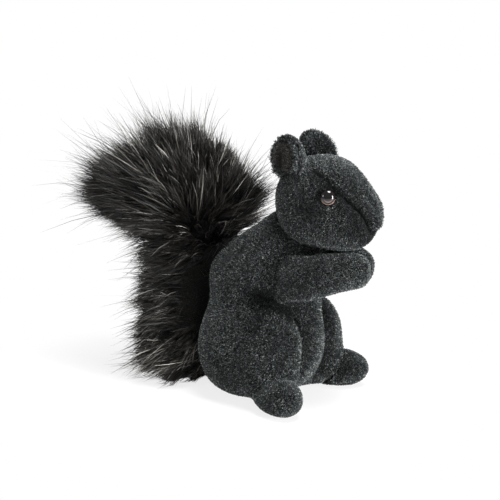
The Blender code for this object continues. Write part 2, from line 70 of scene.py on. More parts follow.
# %% A socket that Python can calculate with
class Wire:
    """One output socket. Sums on it add Math nodes, or Vector Math nodes for a vector."""

    def __init__(self, tree, socket):
        self.tree = tree
        self.socket = socket

    def _sum(self, operation, *items):
        vector = any(isinstance(i, Wire) and i.socket.type in ("VECTOR", "ROTATION") for i in items)
        vector = vector or any(isinstance(i, (tuple, Vector)) for i in items)
        node = self.tree.nodes.new("ShaderNodeVectorMath" if vector else "ShaderNodeMath")
        node.operation = operation
        for socket, item in zip(node.inputs, items):
            if vector and isinstance(item, (int, float)):
                item = (item, item, item)
            plug(self.tree, socket, item)
        return Wire(self.tree, node.outputs[0])

    def __add__(self, other):
        return self._sum("ADD", self, other)

    def __radd__(self, other):
        return self._sum("ADD", other, self)

    def __sub__(self, other):
        return self._sum("SUBTRACT", self, other)

    def __rsub__(self, other):
        return self._sum("SUBTRACT", other, self)

    def __mul__(self, other):
        return self._sum("MULTIPLY", self, other)

    def __rmul__(self, other):
        return self._sum("MULTIPLY", other, self)

    def __truediv__(self, other):
        return self._sum("DIVIDE", self, other)

    def __rtruediv__(self, other):
        return self._sum("DIVIDE", other, self)

    def __pow__(self, other):
        return self._sum("POWER", self, other)

    def low(self, other):
        return self._sum("MINIMUM", self, other)

    def high(self, other):
        return self._sum("MAXIMUM", self, other)

    def clamped(self):
        """The same number, kept between 0 and 1."""
        return self.high(0.0).low(1.0)


def plug(tree, socket, item):
    """Links a wire to a socket, or sets the socket's own value."""
    if isinstance(item, Wire):
        tree.links.new(item.socket, socket)
    else:
        socket.default_value = item


print("wires can be added, multiplied and clamped")

# %% [markdown]
# ## One method for every other node
# Noise, ramps and the nodes that make geometry aren't sums. We could write each of them out, but
# one method makes them all. It sets the node up first and fills its sockets after that, because
# a setting can change which sockets a node has.

# %% A bench to build nodes on
class Bench:
    """A node tree with one method for any node."""

    def __init__(self, tree):
        self.tree = tree

    def node(self, kind, settings=None, sockets=None, output=0):
        made = self.tree.nodes.new(kind)
        for name, value in (settings or {}).items():
            setattr(made, name, value)
        for name, item in (sockets or {}).items():
            plug(self.tree, made.inputs[name], item)
        return Wire(self.tree, made.outputs[output])

    def ramp(self, factor, stops):
        """A colour ramp: stops are (place, colour)."""
        made = self.tree.nodes.new("ShaderNodeValToRGB")
        band = made.color_ramp
        while len(band.elements) < len(stops):
            band.elements.new(0.5)
        for element, (place, colour) in zip(band.elements, stops):
            element.position = place
            element.color = (*colour, 1.0)
        plug(self.tree, made.inputs["Fac"], factor)
        return Wire(self.tree, made.outputs["Color"])

    def mix(self, factor, first, second):
        """A Mix node for colours."""
        made = self.tree.nodes.new("ShaderNodeMix")
        made.data_type = "RGBA"
        for index, item in ((0, factor), (6, first), (7, second)):
            plug(self.tree, made.inputs[index], (*item, 1.0) if isinstance(item, tuple) else item)
        return Wire(self.tree, made.outputs[2])

    def less(self, first, second):
        """One vector or colour less another, as a vector."""
        return self.node("ShaderNodeVectorMath", {"operation": "SUBTRACT"}, {0: first, 1: second})


print("the bench can make any node")

# %% [markdown]
# ## Materials start from Principled
# Plush and plastic differ in how rough they are and in their sheen, the light that fibres catch
# at a shape's edge. We could add nodes for all of it, but what is the same all over a piece is set
# on the shader's own sockets, and only what changes over the piece gets nodes.

# %% A new material
def new_material(name, roughness, sheen=0.0):
    """A Principled material, with the numbers that are the same all over set on its own sockets."""
    material = bpy.data.materials.new(name)
    material.use_nodes = True
    shader = material.node_tree.nodes["Principled BSDF"]
    shader.inputs["Roughness"].default_value = roughness
    shader.inputs["Sheen Weight"].default_value = sheen
    shader.inputs["Sheen Tint"].default_value = (1.0, 1.0, 1.0, 1.0)
    return material, Bench(material.node_tree), shader


print("materials can be made")

# %% [markdown]
# ## Plush: fibres over a dark backing
# On the toy each fibre has its own tone, and some catch the light, so the cloth looks like salt and
# pepper from close by; the rare bright fibres are partly their own tone and partly painted glints.
# A picture of fur would look flat at the edge, so real fibres are grown later, and each one
# carries two numbers in a UV map: its tone across and the way from root to tip along. The
# material turns those two numbers into a colour, darker towards the root, which is painted shade
# deep in the pile.

# %% Fibre and backing materials
FIBRE_SHINE = 0.25
BACKING_SHINE = 0.1


def fibre_material(name, stops, root_shade, bright_end, roughness, sheen):
    """A fibre's colour: a ramp over its tone, with painted shade at the root that clears at its bright end.
    """
    material, bench, shader = new_material(name, roughness, sheen)
    uv = bench.node("ShaderNodeUVMap", {"uv_map": "OFBake"})
    split = bench.node("ShaderNodeSeparateXYZ", None, {"Vector": uv})
    along = Wire(bench.tree, split.socket.node.outputs["Y"])
    # Painted shade: each fibre is darker towards its root, as if shaded deep in the pile.
    shade = root_shade + (1.0 - root_shade) * along ** bright_end
    colour = bench.mix(shade, (0.0, 0.0, 0.0), bench.ramp(split, stops))
    plug(bench.tree, shader.inputs["Base Color"], colour)
    shader.inputs["Specular IOR Level"].default_value = FIBRE_SHINE
    return material


def backing_material(name, dark, light, grain):
    """The woven backing under the fibres, mottled by a fine noise on Object coordinates."""
    material, bench, shader = new_material(name, roughness=0.95, sheen=0.05)
    place = bench.node("ShaderNodeTexCoord", output="Object")
    speck = bench.node("ShaderNodeTexNoise", {"noise_dimensions": "3D"},
                       {"Vector": place, "Scale": grain, "Detail": 3.0, "Roughness": 0.7})
    plug(bench.tree, shader.inputs["Base Color"], bench.ramp(speck, [(0.30, dark), (0.75, light)]))
    bump = bench.node("ShaderNodeBump", None, {"Height": speck, "Strength": 0.5, "Distance": 0.001})
    plug(bench.tree, shader.inputs["Normal"], bump)
    shader.inputs["Specular IOR Level"].default_value = BACKING_SHINE
    return material


PLUSH_TONES = [
    (0.00, (0.011, 0.012, 0.013)),
    (0.45, (0.078, 0.087, 0.088)),
    (0.72, (0.245, 0.269, 0.266)),
    (1.00, (0.520, 0.560, 0.547)),
]
NAP_TONES = [
    (0.00, (0.015, 0.0145, 0.014)),
    (0.50, (0.072, 0.069, 0.064)),
    (1.00, (0.400, 0.390, 0.365)),
]
TAIL_TONES = [
    (0.00, (0.0025, 0.0023, 0.0021)),
    (0.42, (0.015, 0.0139, 0.0124)),
    (0.66, (0.120, 0.111, 0.0985)),
    (1.00, (0.920, 0.889, 0.826)),
]

plush = fibre_material("plush_fibre", PLUSH_TONES, 0.06, 2.2, 0.65, 0.02)
nap = fibre_material("ear_nap_fibre", NAP_TONES, 0.25, 1.5, 0.70, 0.08)
long_pile = fibre_material("tail_strand", TAIL_TONES, 0.16, 1.0, 0.38, 0.0)
plush_backing = backing_material("plush_backing", (0.010, 0.012, 0.012), (0.035, 0.040, 0.041), 900.0)
nap_backing = backing_material("ear_nap_backing", (0.012, 0.010, 0.009), (0.034, 0.029, 0.026), 1200.0)
tail_backing = backing_material("tail_backing", (0.002, 0.002, 0.002), (0.008, 0.007, 0.006), 500.0)
print("plush, nap and tail materials are ready")

# %% [markdown]
# ## Stuffed skins
# Each shell of the toy is cloth pulled tight over stuffing. The solid has the right shape but hard
# facets. A voxel remesh gives it an even skin and smoothing rounds the facets off. The pile will
# stand on the skin, so it is set in first, by most of the pile's length on the body and limbs and
# by less on the head and ears. The solids' own meshes stay as they are: we work on a merged copy.

# %% Copy a solid's mesh and remesh it
MERGE = 0.00001


def mesh_from(bm, name):
    """Keeps a bmesh as a mesh and frees it."""
    mesh = bpy.data.meshes.new(name)
    bm.to_mesh(mesh)
    bm.free()
    return mesh


def linked(name, data):
    """A new object in the scene, at the origin."""
    obj = bpy.data.objects.new(name, data)
    bpy.context.scene.collection.objects.link(obj)
    return obj


def solid_copy(node):
    """A merged copy of a solid's mesh, with outward faces."""
    bm = bmesh.new()
    bm.from_mesh(frame["nodes"][node].data)
    bmesh.ops.remove_doubles(bm, verts=bm.verts, dist=MERGE)
    bmesh.ops.recalc_face_normals(bm, faces=bm.faces)
    return mesh_from(bm, node + "_copy")


def applied(obj, name):
    """The evaluated object as a plain mesh, with its modifiers gone."""
    graph = bpy.context.evaluated_depsgraph_get()
    mesh = bpy.data.meshes.new_from_object(obj.evaluated_get(graph), depsgraph=graph)
    mesh.name = name
    obj.modifiers.clear()
    obj.data = mesh
    return obj


def even_skin(name, mesh, voxel, smoothing, inset):
    """An even, rounded skin a little inside a solid."""
    obj = linked(name, mesh)
    remesh = obj.modifiers.new("even cloth", "REMESH")
    remesh.mode = "VOXEL"
    remesh.voxel_size = voxel
    smooth = obj.modifiers.new("pulled tight", "SMOOTH")
    smooth.factor = 0.5
    smooth.iterations = smoothing
    room = obj.modifiers.new("room for the pile", "DISPLACE")
    room.mid_level = 0.0
    room.strength = -inset
    return applied(obj, name)


print("solids in the frame:", len(frame["nodes"]))

# %% [markdown]
# ## Let the stuffing press
# Stuffing presses a sewn shell outwards, most where the cloth is flat or hollow. Blender's cloth
# does the same with pressure from inside and no gravity. We let it run for twenty frames, hold
# each point to a small cap, and keep the result as a mesh.

# %% Cloth with pressure
PRESSURE = 4.0
FRAMES = 20


def places(obj):
    """The skin's points as an array of x, y and z."""
    co = np.empty(len(obj.data.vertices) * 3)
    obj.data.vertices.foreach_get("co", co)
    return co.reshape(-1, 3)


def set_places(obj, co):
    """Moves the skin's points to new places."""
    obj.data.vertices.foreach_set("co", co.ravel())
    obj.data.update()


def pressed_out(obj, cap):
    """Swells the skin by pressure, each point by no more than the cap."""
    before = places(obj)
    cloth = obj.modifiers.new("stuffing", "CLOTH")
    cloth.settings.use_pressure = True
    cloth.settings.uniform_pressure_force = PRESSURE
    cloth.settings.effector_weights.gravity = 0.0
    for number in range(1, FRAMES + 1):
        bpy.context.scene.frame_set(number)
    applied(obj, obj.name)
    bpy.context.scene.frame_set(1)
    moved = places(obj) - before
    far = np.linalg.norm(moved, axis=1)
    print(obj.name, "pressed out, mm: middle", round(float(np.median(far)) * 1000, 2),
          "most", round(float(far.max()) * 1000, 2))
    set_places(obj, before + moved * np.minimum(1.0, cap / np.maximum(far, 1e-9))[:, None])
    return obj


def finer(obj):
    """One subdivision, which rounds the skin."""
    surface = obj.modifiers.new("rounded", "SUBSURF")
    surface.levels = 1
    surface.render_levels = 1
    applied(obj, obj.name)
    obj.data.shade_smooth()
    return obj


# Voxel, smoothing steps, room for the pile and the most that the stuffing may press out
SHELLS = {
    "torso": (0.0032, 3, 0.0024, 0.0009),
    "head": (0.0022, 3, 0.0013, 0.0007),
    "right_arm": (0.0024, 2, 0.0020, 0.0007),
    "left_arm": (0.0024, 2, 0.0020, 0.0007),
    "right_foot": (0.0024, 2, 0.0019, 0.0007),
    "left_foot": (0.0024, 2, 0.0019, 0.0007),
    "right_ear": (0.0012, 2, 0.0004, 0.0),
    "left_ear": (0.0012, 2, 0.0004, 0.0),
}
skins = {}
for node, (voxel, smoothing, inset, cap) in SHELLS.items():
    skin = even_skin(node + "_skin", solid_copy(node), voxel, smoothing, inset)
    if cap:
        pressed_out(skin, cap)
    skins[node] = finer(skin)
    print(node, "skin faces:", len(skin.data.polygons))

# %% [markdown]
# ## What the skins tell the fibres
# Fibres aren't the same all over. They are short round the eyes and in the crown seams, and painted
# lighter or darker from place to place, which is painted light and shade. We could paint that by
# hand, but a sum of ramps and soft bumps can be changed by one number. It is written on the skin's
# points as two attributes, "short" for length and one for the painted light and shade, which the
# scattered points then inherit.

# %% Paint attributes on the skins
def paint(obj, name, values):
    """Store one number for each point of the skin."""
    layer = obj.data.attributes.get(name) or obj.data.attributes.new(name, "FLOAT", "POINT")
    layer.data.foreach_set("value", np.asarray(values, dtype=np.float32))


def ramp(values, low, high):
    """0 at low, 1 at high, straight in between; low may be the greater number."""
    return np.clip((values - low) / (high - low), 0.0, 1.0)


def soft(share):
    """Rounds a ramp off at both ends."""
    return share * share * (3.0 - 2.0 * share)


def near(values, middle, width):
    """A soft bump: 1 at the middle, fading over the width."""
    return np.exp(-((values - middle) / width) ** 2)


def normals(obj):
    """Which way each point of the skin faces."""
    away = np.empty(len(obj.data.vertices) * 3)
    obj.data.vertex_normals.foreach_get("vector", away)
    return away.reshape(-1, 3)


def push(obj, amount):
    """Moves each point along its normal."""
    set_places(obj, places(obj) + normals(obj) * np.asarray(amount)[:, None])


for node, skin in skins.items():
    paint(skin, "short", np.zeros(len(skin.data.vertices)))
    paint(skin, "painted_light_and_shade", np.zeros(len(skin.data.vertices)))
print("skins are ready for paint")

# %% [markdown]
# ## Skins that grow out of each other
# Where two shells are sewn together, the cloth of one runs up to the other in a small curve. We
# could join the meshes, but then they couldn't have a pile of their own. Instead each point asks
# how far the other skin is, and rises the more the closer it is, but never as far as that skin.

# %% Distances between skins
TOUCH = 0.0003


def nearest(co, skin):
    """For each point the nearest spot on a skin, and how far that is."""
    mesh = skin.data
    corners = [tuple(face.vertices) for face in mesh.polygons]
    tree = BVHTree.FromPolygons([v.co for v in mesh.vertices], corners)
    found = [tree.find_nearest(Vector(point)) for point in co]
    return np.array([tuple(hit[0]) for hit in found]), np.array([hit[3] for hit in found])


def fillet(co, others, reach, most):
    """How far to raise a skin so that other skins grow out of it, and never through them."""
    gap = np.min([nearest(co, skins[node])[1] for node in others], axis=0)
    close = np.clip(1.0 - gap / reach, 0.0, 1.0) ** 2
    return np.minimum(most * close, np.maximum(gap - TOUCH, 0.0))


between = nearest(places(skins["right_ear"]), skins["head"])[1]
print("right ear to head, least mm:", round(float(between.min()) * 1000, 2))

# %% [markdown]
# ## Ears with a lined cup
# An ear is a flat pocket that is sewn into the head along its foot. On the toy its top leans back
# and is narrower than its foot. The lining, a finer cloth, lies in the cup of the ear. The plush
# is short beneath it and longer round it, which gives the ear its fluffy rim. We could model a
# new ear, but to move the points of the skins we have keeps them where the solids are.

# %% Shape the ears
EAR_LEAN = 0.0020
EAR_NARROW = 0.14
EAR_FOOT_Z = 0.148
EAR_TOP_Z = 0.171
EAR_MIDDLE_Z = 0.1575
EAR_HEIGHT_SHARE = 0.86
LINING_SHARE = (0.84, 0.92)
LINING_LIFT = 0.0007
FOLD_Y = -0.0275
FOLD_WIDTH = 0.0017
FOLD_DEPTH = 0.0012
LINING_VOXEL = 0.0007


def leaf_shaped(co, back_y):
    """Leans the ear back, draws its front edge in, the more the higher up, and lowers it."""
    high = ramp(co[:, 2], EAR_FOOT_Z, EAR_TOP_Z)
    co[:, 1] = back_y - (back_y - co[:, 1]) * (1.0 - EAR_NARROW * high) + EAR_LEAN * high
    co[:, 2] = EAR_MIDDLE_Z + (co[:, 2] - EAR_MIDDLE_Z) * EAR_HEIGHT_SHARE
    return co


for side in ("right", "left"):
    ear = skins[side + "_ear"]
    co = places(ear)
    back_y = co[:, 1].max()
    set_places(ear, leaf_shaped(co, back_y))
    lining = even_skin(side + "_ear_lining_skin", solid_copy(side + "_ear_lining"), LINING_VOXEL, 2, 0.0)
    lining.data.shade_smooth()
    skins[side + "_ear_lining"] = lining
    co = places(lining)
    co[:, 1] = co[:, 1].max() + (co[:, 1] - co[:, 1].max()) * LINING_SHARE[0]
    co[:, 2] = co[:, 2].mean() + (co[:, 2] - co[:, 2].mean()) * LINING_SHARE[1]
    fold = near(co[:, 1], FOLD_Y, FOLD_WIDTH) * ramp(-co[:, 2], -0.160, -0.154)
    set_places(lining, leaf_shaped(co, back_y))
    paint(lining, "short", 0.5 * fold)
    # Painted shade in the lining's fold.
    paint(lining, "painted_light_and_shade", -5.0 * fold)
    push(lining, LINING_LIFT - FOLD_DEPTH * fold)
    beside = nearest(places(ear), lining)[1]
    covered = 1.0 - ramp(beside, 0.0010, 0.0022)
    edge = near(beside, 0.0022, 0.0007)
    paint(ear, "short", 1.10 * covered - 0.25 * (1.0 - covered))
    # The ear's pile is painted lighter all over, painted light, and darker in a ring round the lining.
    paint(ear, "painted_light_and_shade", 1.0 - 3.5 * edge)
    print(side, "ear: points under the lining", int((covered > 0.5).sum()))

# %% [markdown]
# ## Where the head's seams run
# The crown is a panel of its own, from the nose tip to the ears, sewn to a cheek on each side.
# Seen from the front, the two seams follow one parabola that has its foot at the mouth, so their
# place is a sum: how far a point is from that parabola. Behind the eyes they run straight on to the
# ears. The eyes' places come from their solids.

# %% Distances on the head
SEAM_FOOT_Z = 0.1118
SEAM_CURVE = 141.0
SEAM_HALF = 0.0149
SEAM_TURN_Y = -0.058
EYE_RADIUS = 0.0048
EYE_HEIGHT = 0.0037
EYE_SHIFT = Vector((0.0, -0.0012, -0.0012))


def seam_distance(co):
    """How far a point is outside the crown panel, in metres; inside it the number is negative."""
    x = np.abs(co[:, 0])
    slope = 2.0 * SEAM_CURVE * x
    in_front = (SEAM_FOOT_Z + SEAM_CURVE * x ** 2 - co[:, 2]) / np.sqrt(1.0 + slope ** 2)
    behind = x - SEAM_HALF + 0.0011 * ((co[:, 1] - SEAM_TURN_Y) / 0.016) ** 2
    share = ramp(-co[:, 1], 0.048, 0.060)
    return share * in_front + (1.0 - share) * behind


def distance_to(co, spot):
    """Distance to a spot that is on both sides of the toy."""
    mirrored = np.abs(co[:, 0]) - spot.x
    return np.sqrt(mirrored ** 2 + (co[:, 1] - spot.y) ** 2 + (co[:, 2] - spot.z) ** 2)


def eye_spot(node, side):
    """The middle of an eye's back and the way it looks, measured on its solid."""
    turn, lift = math.radians(32), math.radians(10)
    look = Vector((side * math.cos(turn), -math.sin(turn), math.sin(lift))).normalized()
    verts = [v.co.copy() for v in frame["nodes"][node].data.vertices]
    crown = max(verts, key=lambda v: v.dot(look))
    return crown - look * EYE_HEIGHT + EYE_SHIFT, look


eyes = {"right_eye": eye_spot("right_eye", -1), "left_eye": eye_spot("left_eye", 1)}
print("eyes at, mm:", {k: [round(v * 1000, 1) for v in spot] for k, (spot, _) in eyes.items()})

# %% [markdown]
# ## Sink the seams and shape the face
# The cloth sinks in the seam, the crown rolls over it, and under each eye the cheek is hollow. The
# mouth is a soft dent. We could sculpt them, but each is a mask, a number from 0 to 1 for every
# point, that says how far the cloth moves there and how short its pile is. The pile is darker in
# the seams, under the roll, in the eye hollows, in the mouth and a little on the forehead, which is
# painted shade, and lighter on top of the head and on the muzzle, which is painted light from above
# and in front.

# %% Seams, sockets and snout
SEAM_BACK_Y = -0.040
SEAM_WIDTH = 0.0022
SEAM_DEPTH = 0.0036
CROWN_ROLL = 0.0014
FOREHEAD = 0.0022
CHIN_DROP = 0.0026
SOCKET = Vector((0.0258, -0.0525, 0.1272))
SOCKET_WIDTH = 0.0085
MOUTH = Vector((0.0, -0.0830, 0.1115))
NOSE_TUFT = Vector((0.0, -0.0855, 0.1180))
EAR_FOOT_REACH = 0.010
EAR_FOOT_RAISE = 0.0034

head = skins["head"]
co = places(head)
away = seam_distance(co)
fade = ramp(-co[:, 1], -SEAM_BACK_Y, 0.075)
seam = near(away, 0.0, SEAM_WIDTH) * (0.25 + 0.75 * fade) * ramp(-co[:, 1], 0.040, 0.046)
roll = near(away, -0.0042, 0.0028) * fade
under_roll = near(away, 0.0032, 0.0030) * fade
forehead = ramp(-away, -0.002, 0.004) * ramp(-co[:, 1], 0.040, 0.056) * ramp(co[:, 2], 0.122, 0.138)
chin = ramp(-co[:, 2], -0.114, -0.106) * ramp(-co[:, 1], 0.052, 0.066)
near_eye = np.zeros(len(co))
for middle, look in eyes.values():
    reach = np.linalg.norm(co - np.array(middle), axis=1)
    near_eye = np.maximum(near_eye, 1.0 - ramp(reach, EYE_RADIUS, EYE_RADIUS * 1.4))
socket = near(distance_to(co, SOCKET), 0.0, SOCKET_WIDTH)
mouth = near(distance_to(co, MOUTH), 0.0, 0.0030)
tuft = near(distance_to(co, NOSE_TUFT), 0.0, 0.0032)
muzzle = ramp(-co[:, 1], 0.062, 0.074)
crown = ramp(co[:, 2], 0.142, 0.150)
ear_foot = fillet(co, ("right_ear", "left_ear"), EAR_FOOT_REACH, EAR_FOOT_RAISE)
ear_foot = ear_foot * ramp(co[:, 2], 0.138, 0.146)
paint(head, "short", np.maximum(seam * 0.6, near_eye) + 0.10 * muzzle - 0.75 * tuft)
# Painted shade in the seams, under the roll, in the eye hollows, in the mouth and on the forehead; painted
# light on top of the head and on the muzzle.
paint(head, "painted_light_and_shade", 2.6 * crown - 0.4 - 0.5 * forehead * (1.0 - crown) - 5.0 * seam
      - 2.4 * under_roll - 4.2 * socket - 1.5 * mouth + 0.6 * muzzle)
push(head, CROWN_ROLL * roll + FOREHEAD * forehead + ear_foot
     - SEAM_DEPTH * seam - 0.0014 * socket - 0.0012 * mouth)
co = places(head)
co[:, 2] -= CHIN_DROP * chin
set_places(head, co)
print("points in the crown seams:", int((seam > 0.5).sum()))

# %% [markdown]
# ## Arms that run into the shoulders
# The arms are full below, where the stuffing has sunk, and the paws hang a little. At its back end
# each arm's cloth runs into the shoulder. We could leave the solid's round end, but it would stand
# out, so we press it a little way into the body.

# %% Arms
ARM_SAG = 0.0034
PAW_DROP = 0.0018
ARM_FLAT = 1.15
FOOT_PAINTED_LIGHT = 0.9

torso = skins["torso"]
# The feet's pile is painted lighter all over, painted light from in front and below.
for node in ("right_foot", "left_foot"):
    paint(skins[node], "painted_light_and_shade", np.full(len(skins[node].data.vertices), FOOT_PAINTED_LIGHT))
for node in ("right_arm", "left_arm"):
    arm = skins[node]
    co, downwards = places(arm), ramp(-normals(arm)[:, 2], 0.0, 0.7)
    co[:, 2] -= ARM_SAG * downwards * ramp(-co[:, 1], 0.030, 0.045)
    co[:, 2] -= PAW_DROP * ramp(-co[:, 1], 0.056, 0.070)
    spots, _ = nearest(co, torso)
    flat = ARM_FLAT * soft(ramp(co[:, 1], -0.055, -0.030))[:, None]
    set_places(arm, co + (spots - co) * flat)
    # The paws' pile is painted lighter, painted light from in front and below.
    paint(arm, "painted_light_and_shade", 2.0 * ramp(-co[:, 1], 0.056, 0.072))
    print(node, "points pressed to the body:", int((flat > 0.5).sum()))

# %% [markdown]
# ## The body meets its limbs and the head
# The body's cloth rises over the ends of the arms, a little way round the feet, and up to the back
# of the head, as the toy has no neck. The back is filled out above the hips, drawn in over them,
# and spreads where the toy sits. We could do each by hand, but one push along the normals does all.

# %% Shoulders, nape, back and seat
SHOULDER_REACH = 0.016
SHOULDER_RAISE = 0.0056
FOOT_REACH = 0.014
FOOT_RAISE = 0.0045
NAPE_REACH = 0.025
NAPE_RAISE = 0.0105
SEAT_SPREAD = 0.0030

co = places(torso)
behind = soft(ramp(co[:, 1], -0.048, -0.032)) * ramp(co[:, 2], 0.068, 0.080)
gap = np.minimum(nearest(co, skins["right_arm"])[1], nearest(co, skins["left_arm"])[1])
shoulder = SHOULDER_RAISE * np.clip(1.0 - gap / SHOULDER_REACH, 0.0, 1.0) ** 1.5 * behind
ankle = fillet(co, ("right_foot", "left_foot"), FOOT_REACH, FOOT_RAISE) * ramp(co[:, 2], 0.002, 0.006)
back = ramp(co[:, 1], -0.025, -0.005)
waist = 0.0028 * near(co[:, 2], 0.077, 0.012) * back - 0.0012 * near(co[:, 2], 0.042, 0.016) * back
nape = fillet(co, ("head",), NAPE_REACH, NAPE_RAISE)
nape = nape * ramp(co[:, 1], -0.034, -0.020) * ramp(co[:, 2], 0.090, 0.100)
push(torso, shoulder + ankle + waist + nape)
co, outward = places(torso), normals(torso)
outward[:, 2] = 0.0
seat = near(co[:, 2], 0.006, 0.010) * ramp(co[:, 1], -0.020, 0.0)
set_places(torso, co + SEAT_SPREAD * seat[:, None] * outward)
print("shoulder raised by, most mm:", round(float(shoulder.max()) * 1000, 2))

# %% [markdown]
# ## Folds of the body
# The belly is a strip of its own between the two thighs, and the cloth is drawn in between them.
# Under the arm the body is hollow, and each thigh has a dimple where it is sewn to the belly. The
# pile could only darken a fold, so the skin itself sinks there, and its pile is darker as well, which
# is painted shade. The belly, the knees and the lower body get lighter pile, which is painted light.

# %% Valleys and hollows
BELLY_VALLEY_X = 0.0135
BELLY_VALLEY_WIDTH = 0.0046
BELLY_VALLEY_DEPTH = 0.0044
HOLLOW_BACK = Vector((0.0290, -0.0190, 0.0690))
HOLLOW_FRONT = Vector((0.0210, -0.0365, 0.0580))
HOLLOW_WIDTH = 0.0075
HOLLOW_DEPTH = 0.0042
DIMPLE = Vector((0.0375, -0.0200, 0.0520))
KNEE_TOP = Vector((0.0275, -0.0330, 0.0560))
KNEE_FRONT = Vector((0.0190, -0.0410, 0.0400))
BELLY_WIDTH = 0.0085
DIMPLE_WIDTH = 0.0080
KNEE_WIDTH = 0.0060


def distance_to_line(co, start, end):
    """Distance to a straight line between two spots, on both sides of the toy."""
    points = np.column_stack((np.abs(co[:, 0]), co[:, 1], co[:, 2])) - np.array(start)
    line = np.array(end - start)
    share = np.clip(points @ line / (line @ line), 0.0, 1.0)
    return np.linalg.norm(points - share[:, None] * line, axis=1)


co = places(torso)
front = ramp(-co[:, 1], 0.016, 0.028)
upright = ramp(co[:, 2], 0.006, 0.016) * ramp(-co[:, 2], -0.068, -0.056)
valley = near(np.abs(co[:, 0]), BELLY_VALLEY_X, BELLY_VALLEY_WIDTH) * front * upright
belly = near(co[:, 0], 0.0, BELLY_WIDTH) * front * upright
hollow = near(distance_to_line(co, HOLLOW_BACK, HOLLOW_FRONT), 0.0, HOLLOW_WIDTH)
dimple = near(distance_to(co, DIMPLE), 0.0, DIMPLE_WIDTH)
knee = near(distance_to_line(co, KNEE_TOP, KNEE_FRONT), 0.0, KNEE_WIDTH)
push(torso, 0.0010 * belly + 0.0012 * knee - BELLY_VALLEY_DEPTH * valley - HOLLOW_DEPTH * hollow
     - 0.0014 * dimple)
hips = ramp(-co[:, 2], -0.080, -0.035)
# Painted light on the lower body, the belly and the knees; painted shade in the valleys, the hollow and the
# dimples.
paint(torso, "painted_light_and_shade", 0.5 * hips + 1.6 * belly + 1.4 * knee - 0.4 * valley - 4.6 * hollow - 3.8 * dimple)
print("points in the folds:", int(((valley > 0.5) | (hollow > 0.5)).sum()))

# %% [markdown]
# ## Pile with Geometry Nodes
# The plush's pile is millions of fibres. A particle system would make hairs that the export
# drops, so Geometry Nodes scatter points over a skin and stand one thin blade on each. First come
# the small helpers that both trees share: named inputs, scattered points, values that are read and
# stored, chance that differs from point to point, and noise that drifts slowly over the cloth.

# %% Helpers for geometry trees
def new_tree(name, sizes):
    """A geometry tree with a mesh going in, a mesh coming out and named sizes."""
    tree = bpy.data.node_groups.new(name, "GeometryNodeTree")
    tree.interface.new_socket("Geometry", in_out="INPUT", socket_type="NodeSocketGeometry")
    tree.interface.new_socket("Geometry", in_out="OUTPUT", socket_type="NodeSocketGeometry")
    for label, kind, value in sizes:
        socket = tree.interface.new_socket(label, in_out="INPUT", socket_type="NodeSocket" + kind)
        socket.default_value = value
    entry = tree.nodes.new("NodeGroupInput")
    inputs = {socket.name: Wire(tree, socket) for socket in entry.outputs if socket.name}
    return Bench(tree), inputs


def scattered(bench, inputs):
    """Points over the skin, and the way the skin faces at each."""
    scatter = bench.tree.nodes.new("GeometryNodeDistributePointsOnFaces")
    for label, item in (("Mesh", inputs["Geometry"]), ("Density", inputs["Density"]),
                        ("Seed", inputs["Seed"])):
        plug(bench.tree, scatter.inputs[label], item)
    return Wire(bench.tree, scatter.outputs[0]), Wire(bench.tree, scatter.outputs[1])


def read(bench, name, kind="FLOAT"):
    """The value that was stored or painted under a name."""
    return bench.node("GeometryNodeInputNamedAttribute", {"data_type": kind}, {"Name": name})


def store(bench, geometry, name, value, kind="FLOAT", domain="POINT"):
    """Writes a value on the geometry under a name."""
    return bench.node("GeometryNodeStoreNamedAttribute", {"data_type": kind, "domain": domain},
                      {"Geometry": geometry, "Name": name, "Value": value})


def chance(bench, low, high, seed):
    """A different number for each point."""
    node = bench.tree.nodes.new("FunctionNodeRandomValue")
    node.data_type = "FLOAT"
    plug(bench.tree, node.inputs[2], low)
    plug(bench.tree, node.inputs[3], high)
    plug(bench.tree, node.inputs["Seed"], seed)
    return Wire(bench.tree, node.outputs[1])


def chance_vector(bench, size, seed):
    """A different small vector for each point."""
    node = bench.tree.nodes.new("FunctionNodeRandomValue")
    node.data_type = "FLOAT_VECTOR"
    plug(bench.tree, node.inputs[0], (-size, -size, -size))
    plug(bench.tree, node.inputs[1], (size, size, size))
    plug(bench.tree, node.inputs["Seed"], seed)
    return Wire(bench.tree, node.outputs[0])


MIDDLE_GREY = (0.5, 0.5, 0.5)


def drift(bench, place, size):
    """Noise as a vector from about -1 to 1 that changes smoothly over the given size."""
    colour = bench.node("ShaderNodeTexNoise", {"noise_dimensions": "3D"},
                        {"Vector": place, "Scale": 1.0 / size, "Detail": 1.0}, output="Color")
    return bench.less(colour, MIDDLE_GREY) * 3.0


def split_xyz(bench, vector):
    node = bench.tree.nodes.new("ShaderNodeSeparateXYZ")
    plug(bench.tree, node.inputs[0], vector)
    return [Wire(bench.tree, node.outputs[axis]) for axis in range(3)]


def join_xyz(bench, x, y, z):
    return bench.node("ShaderNodeCombineXYZ", None, {"X": x, "Y": y, "Z": z})


def position(bench):
    return bench.node("GeometryNodeInputPosition")


print("helpers for geometry trees are ready")

# %% [markdown]
# ## One fibre, and the end of each tree
# A short fibre is a single triangle, the cheapest shape that still catches light. A long strand is
# a narrow ribbon of a few rows, so that it can bend. A copy stands on each point, and once the
# copies are real, their tone and length go into the UV map that the material reads.

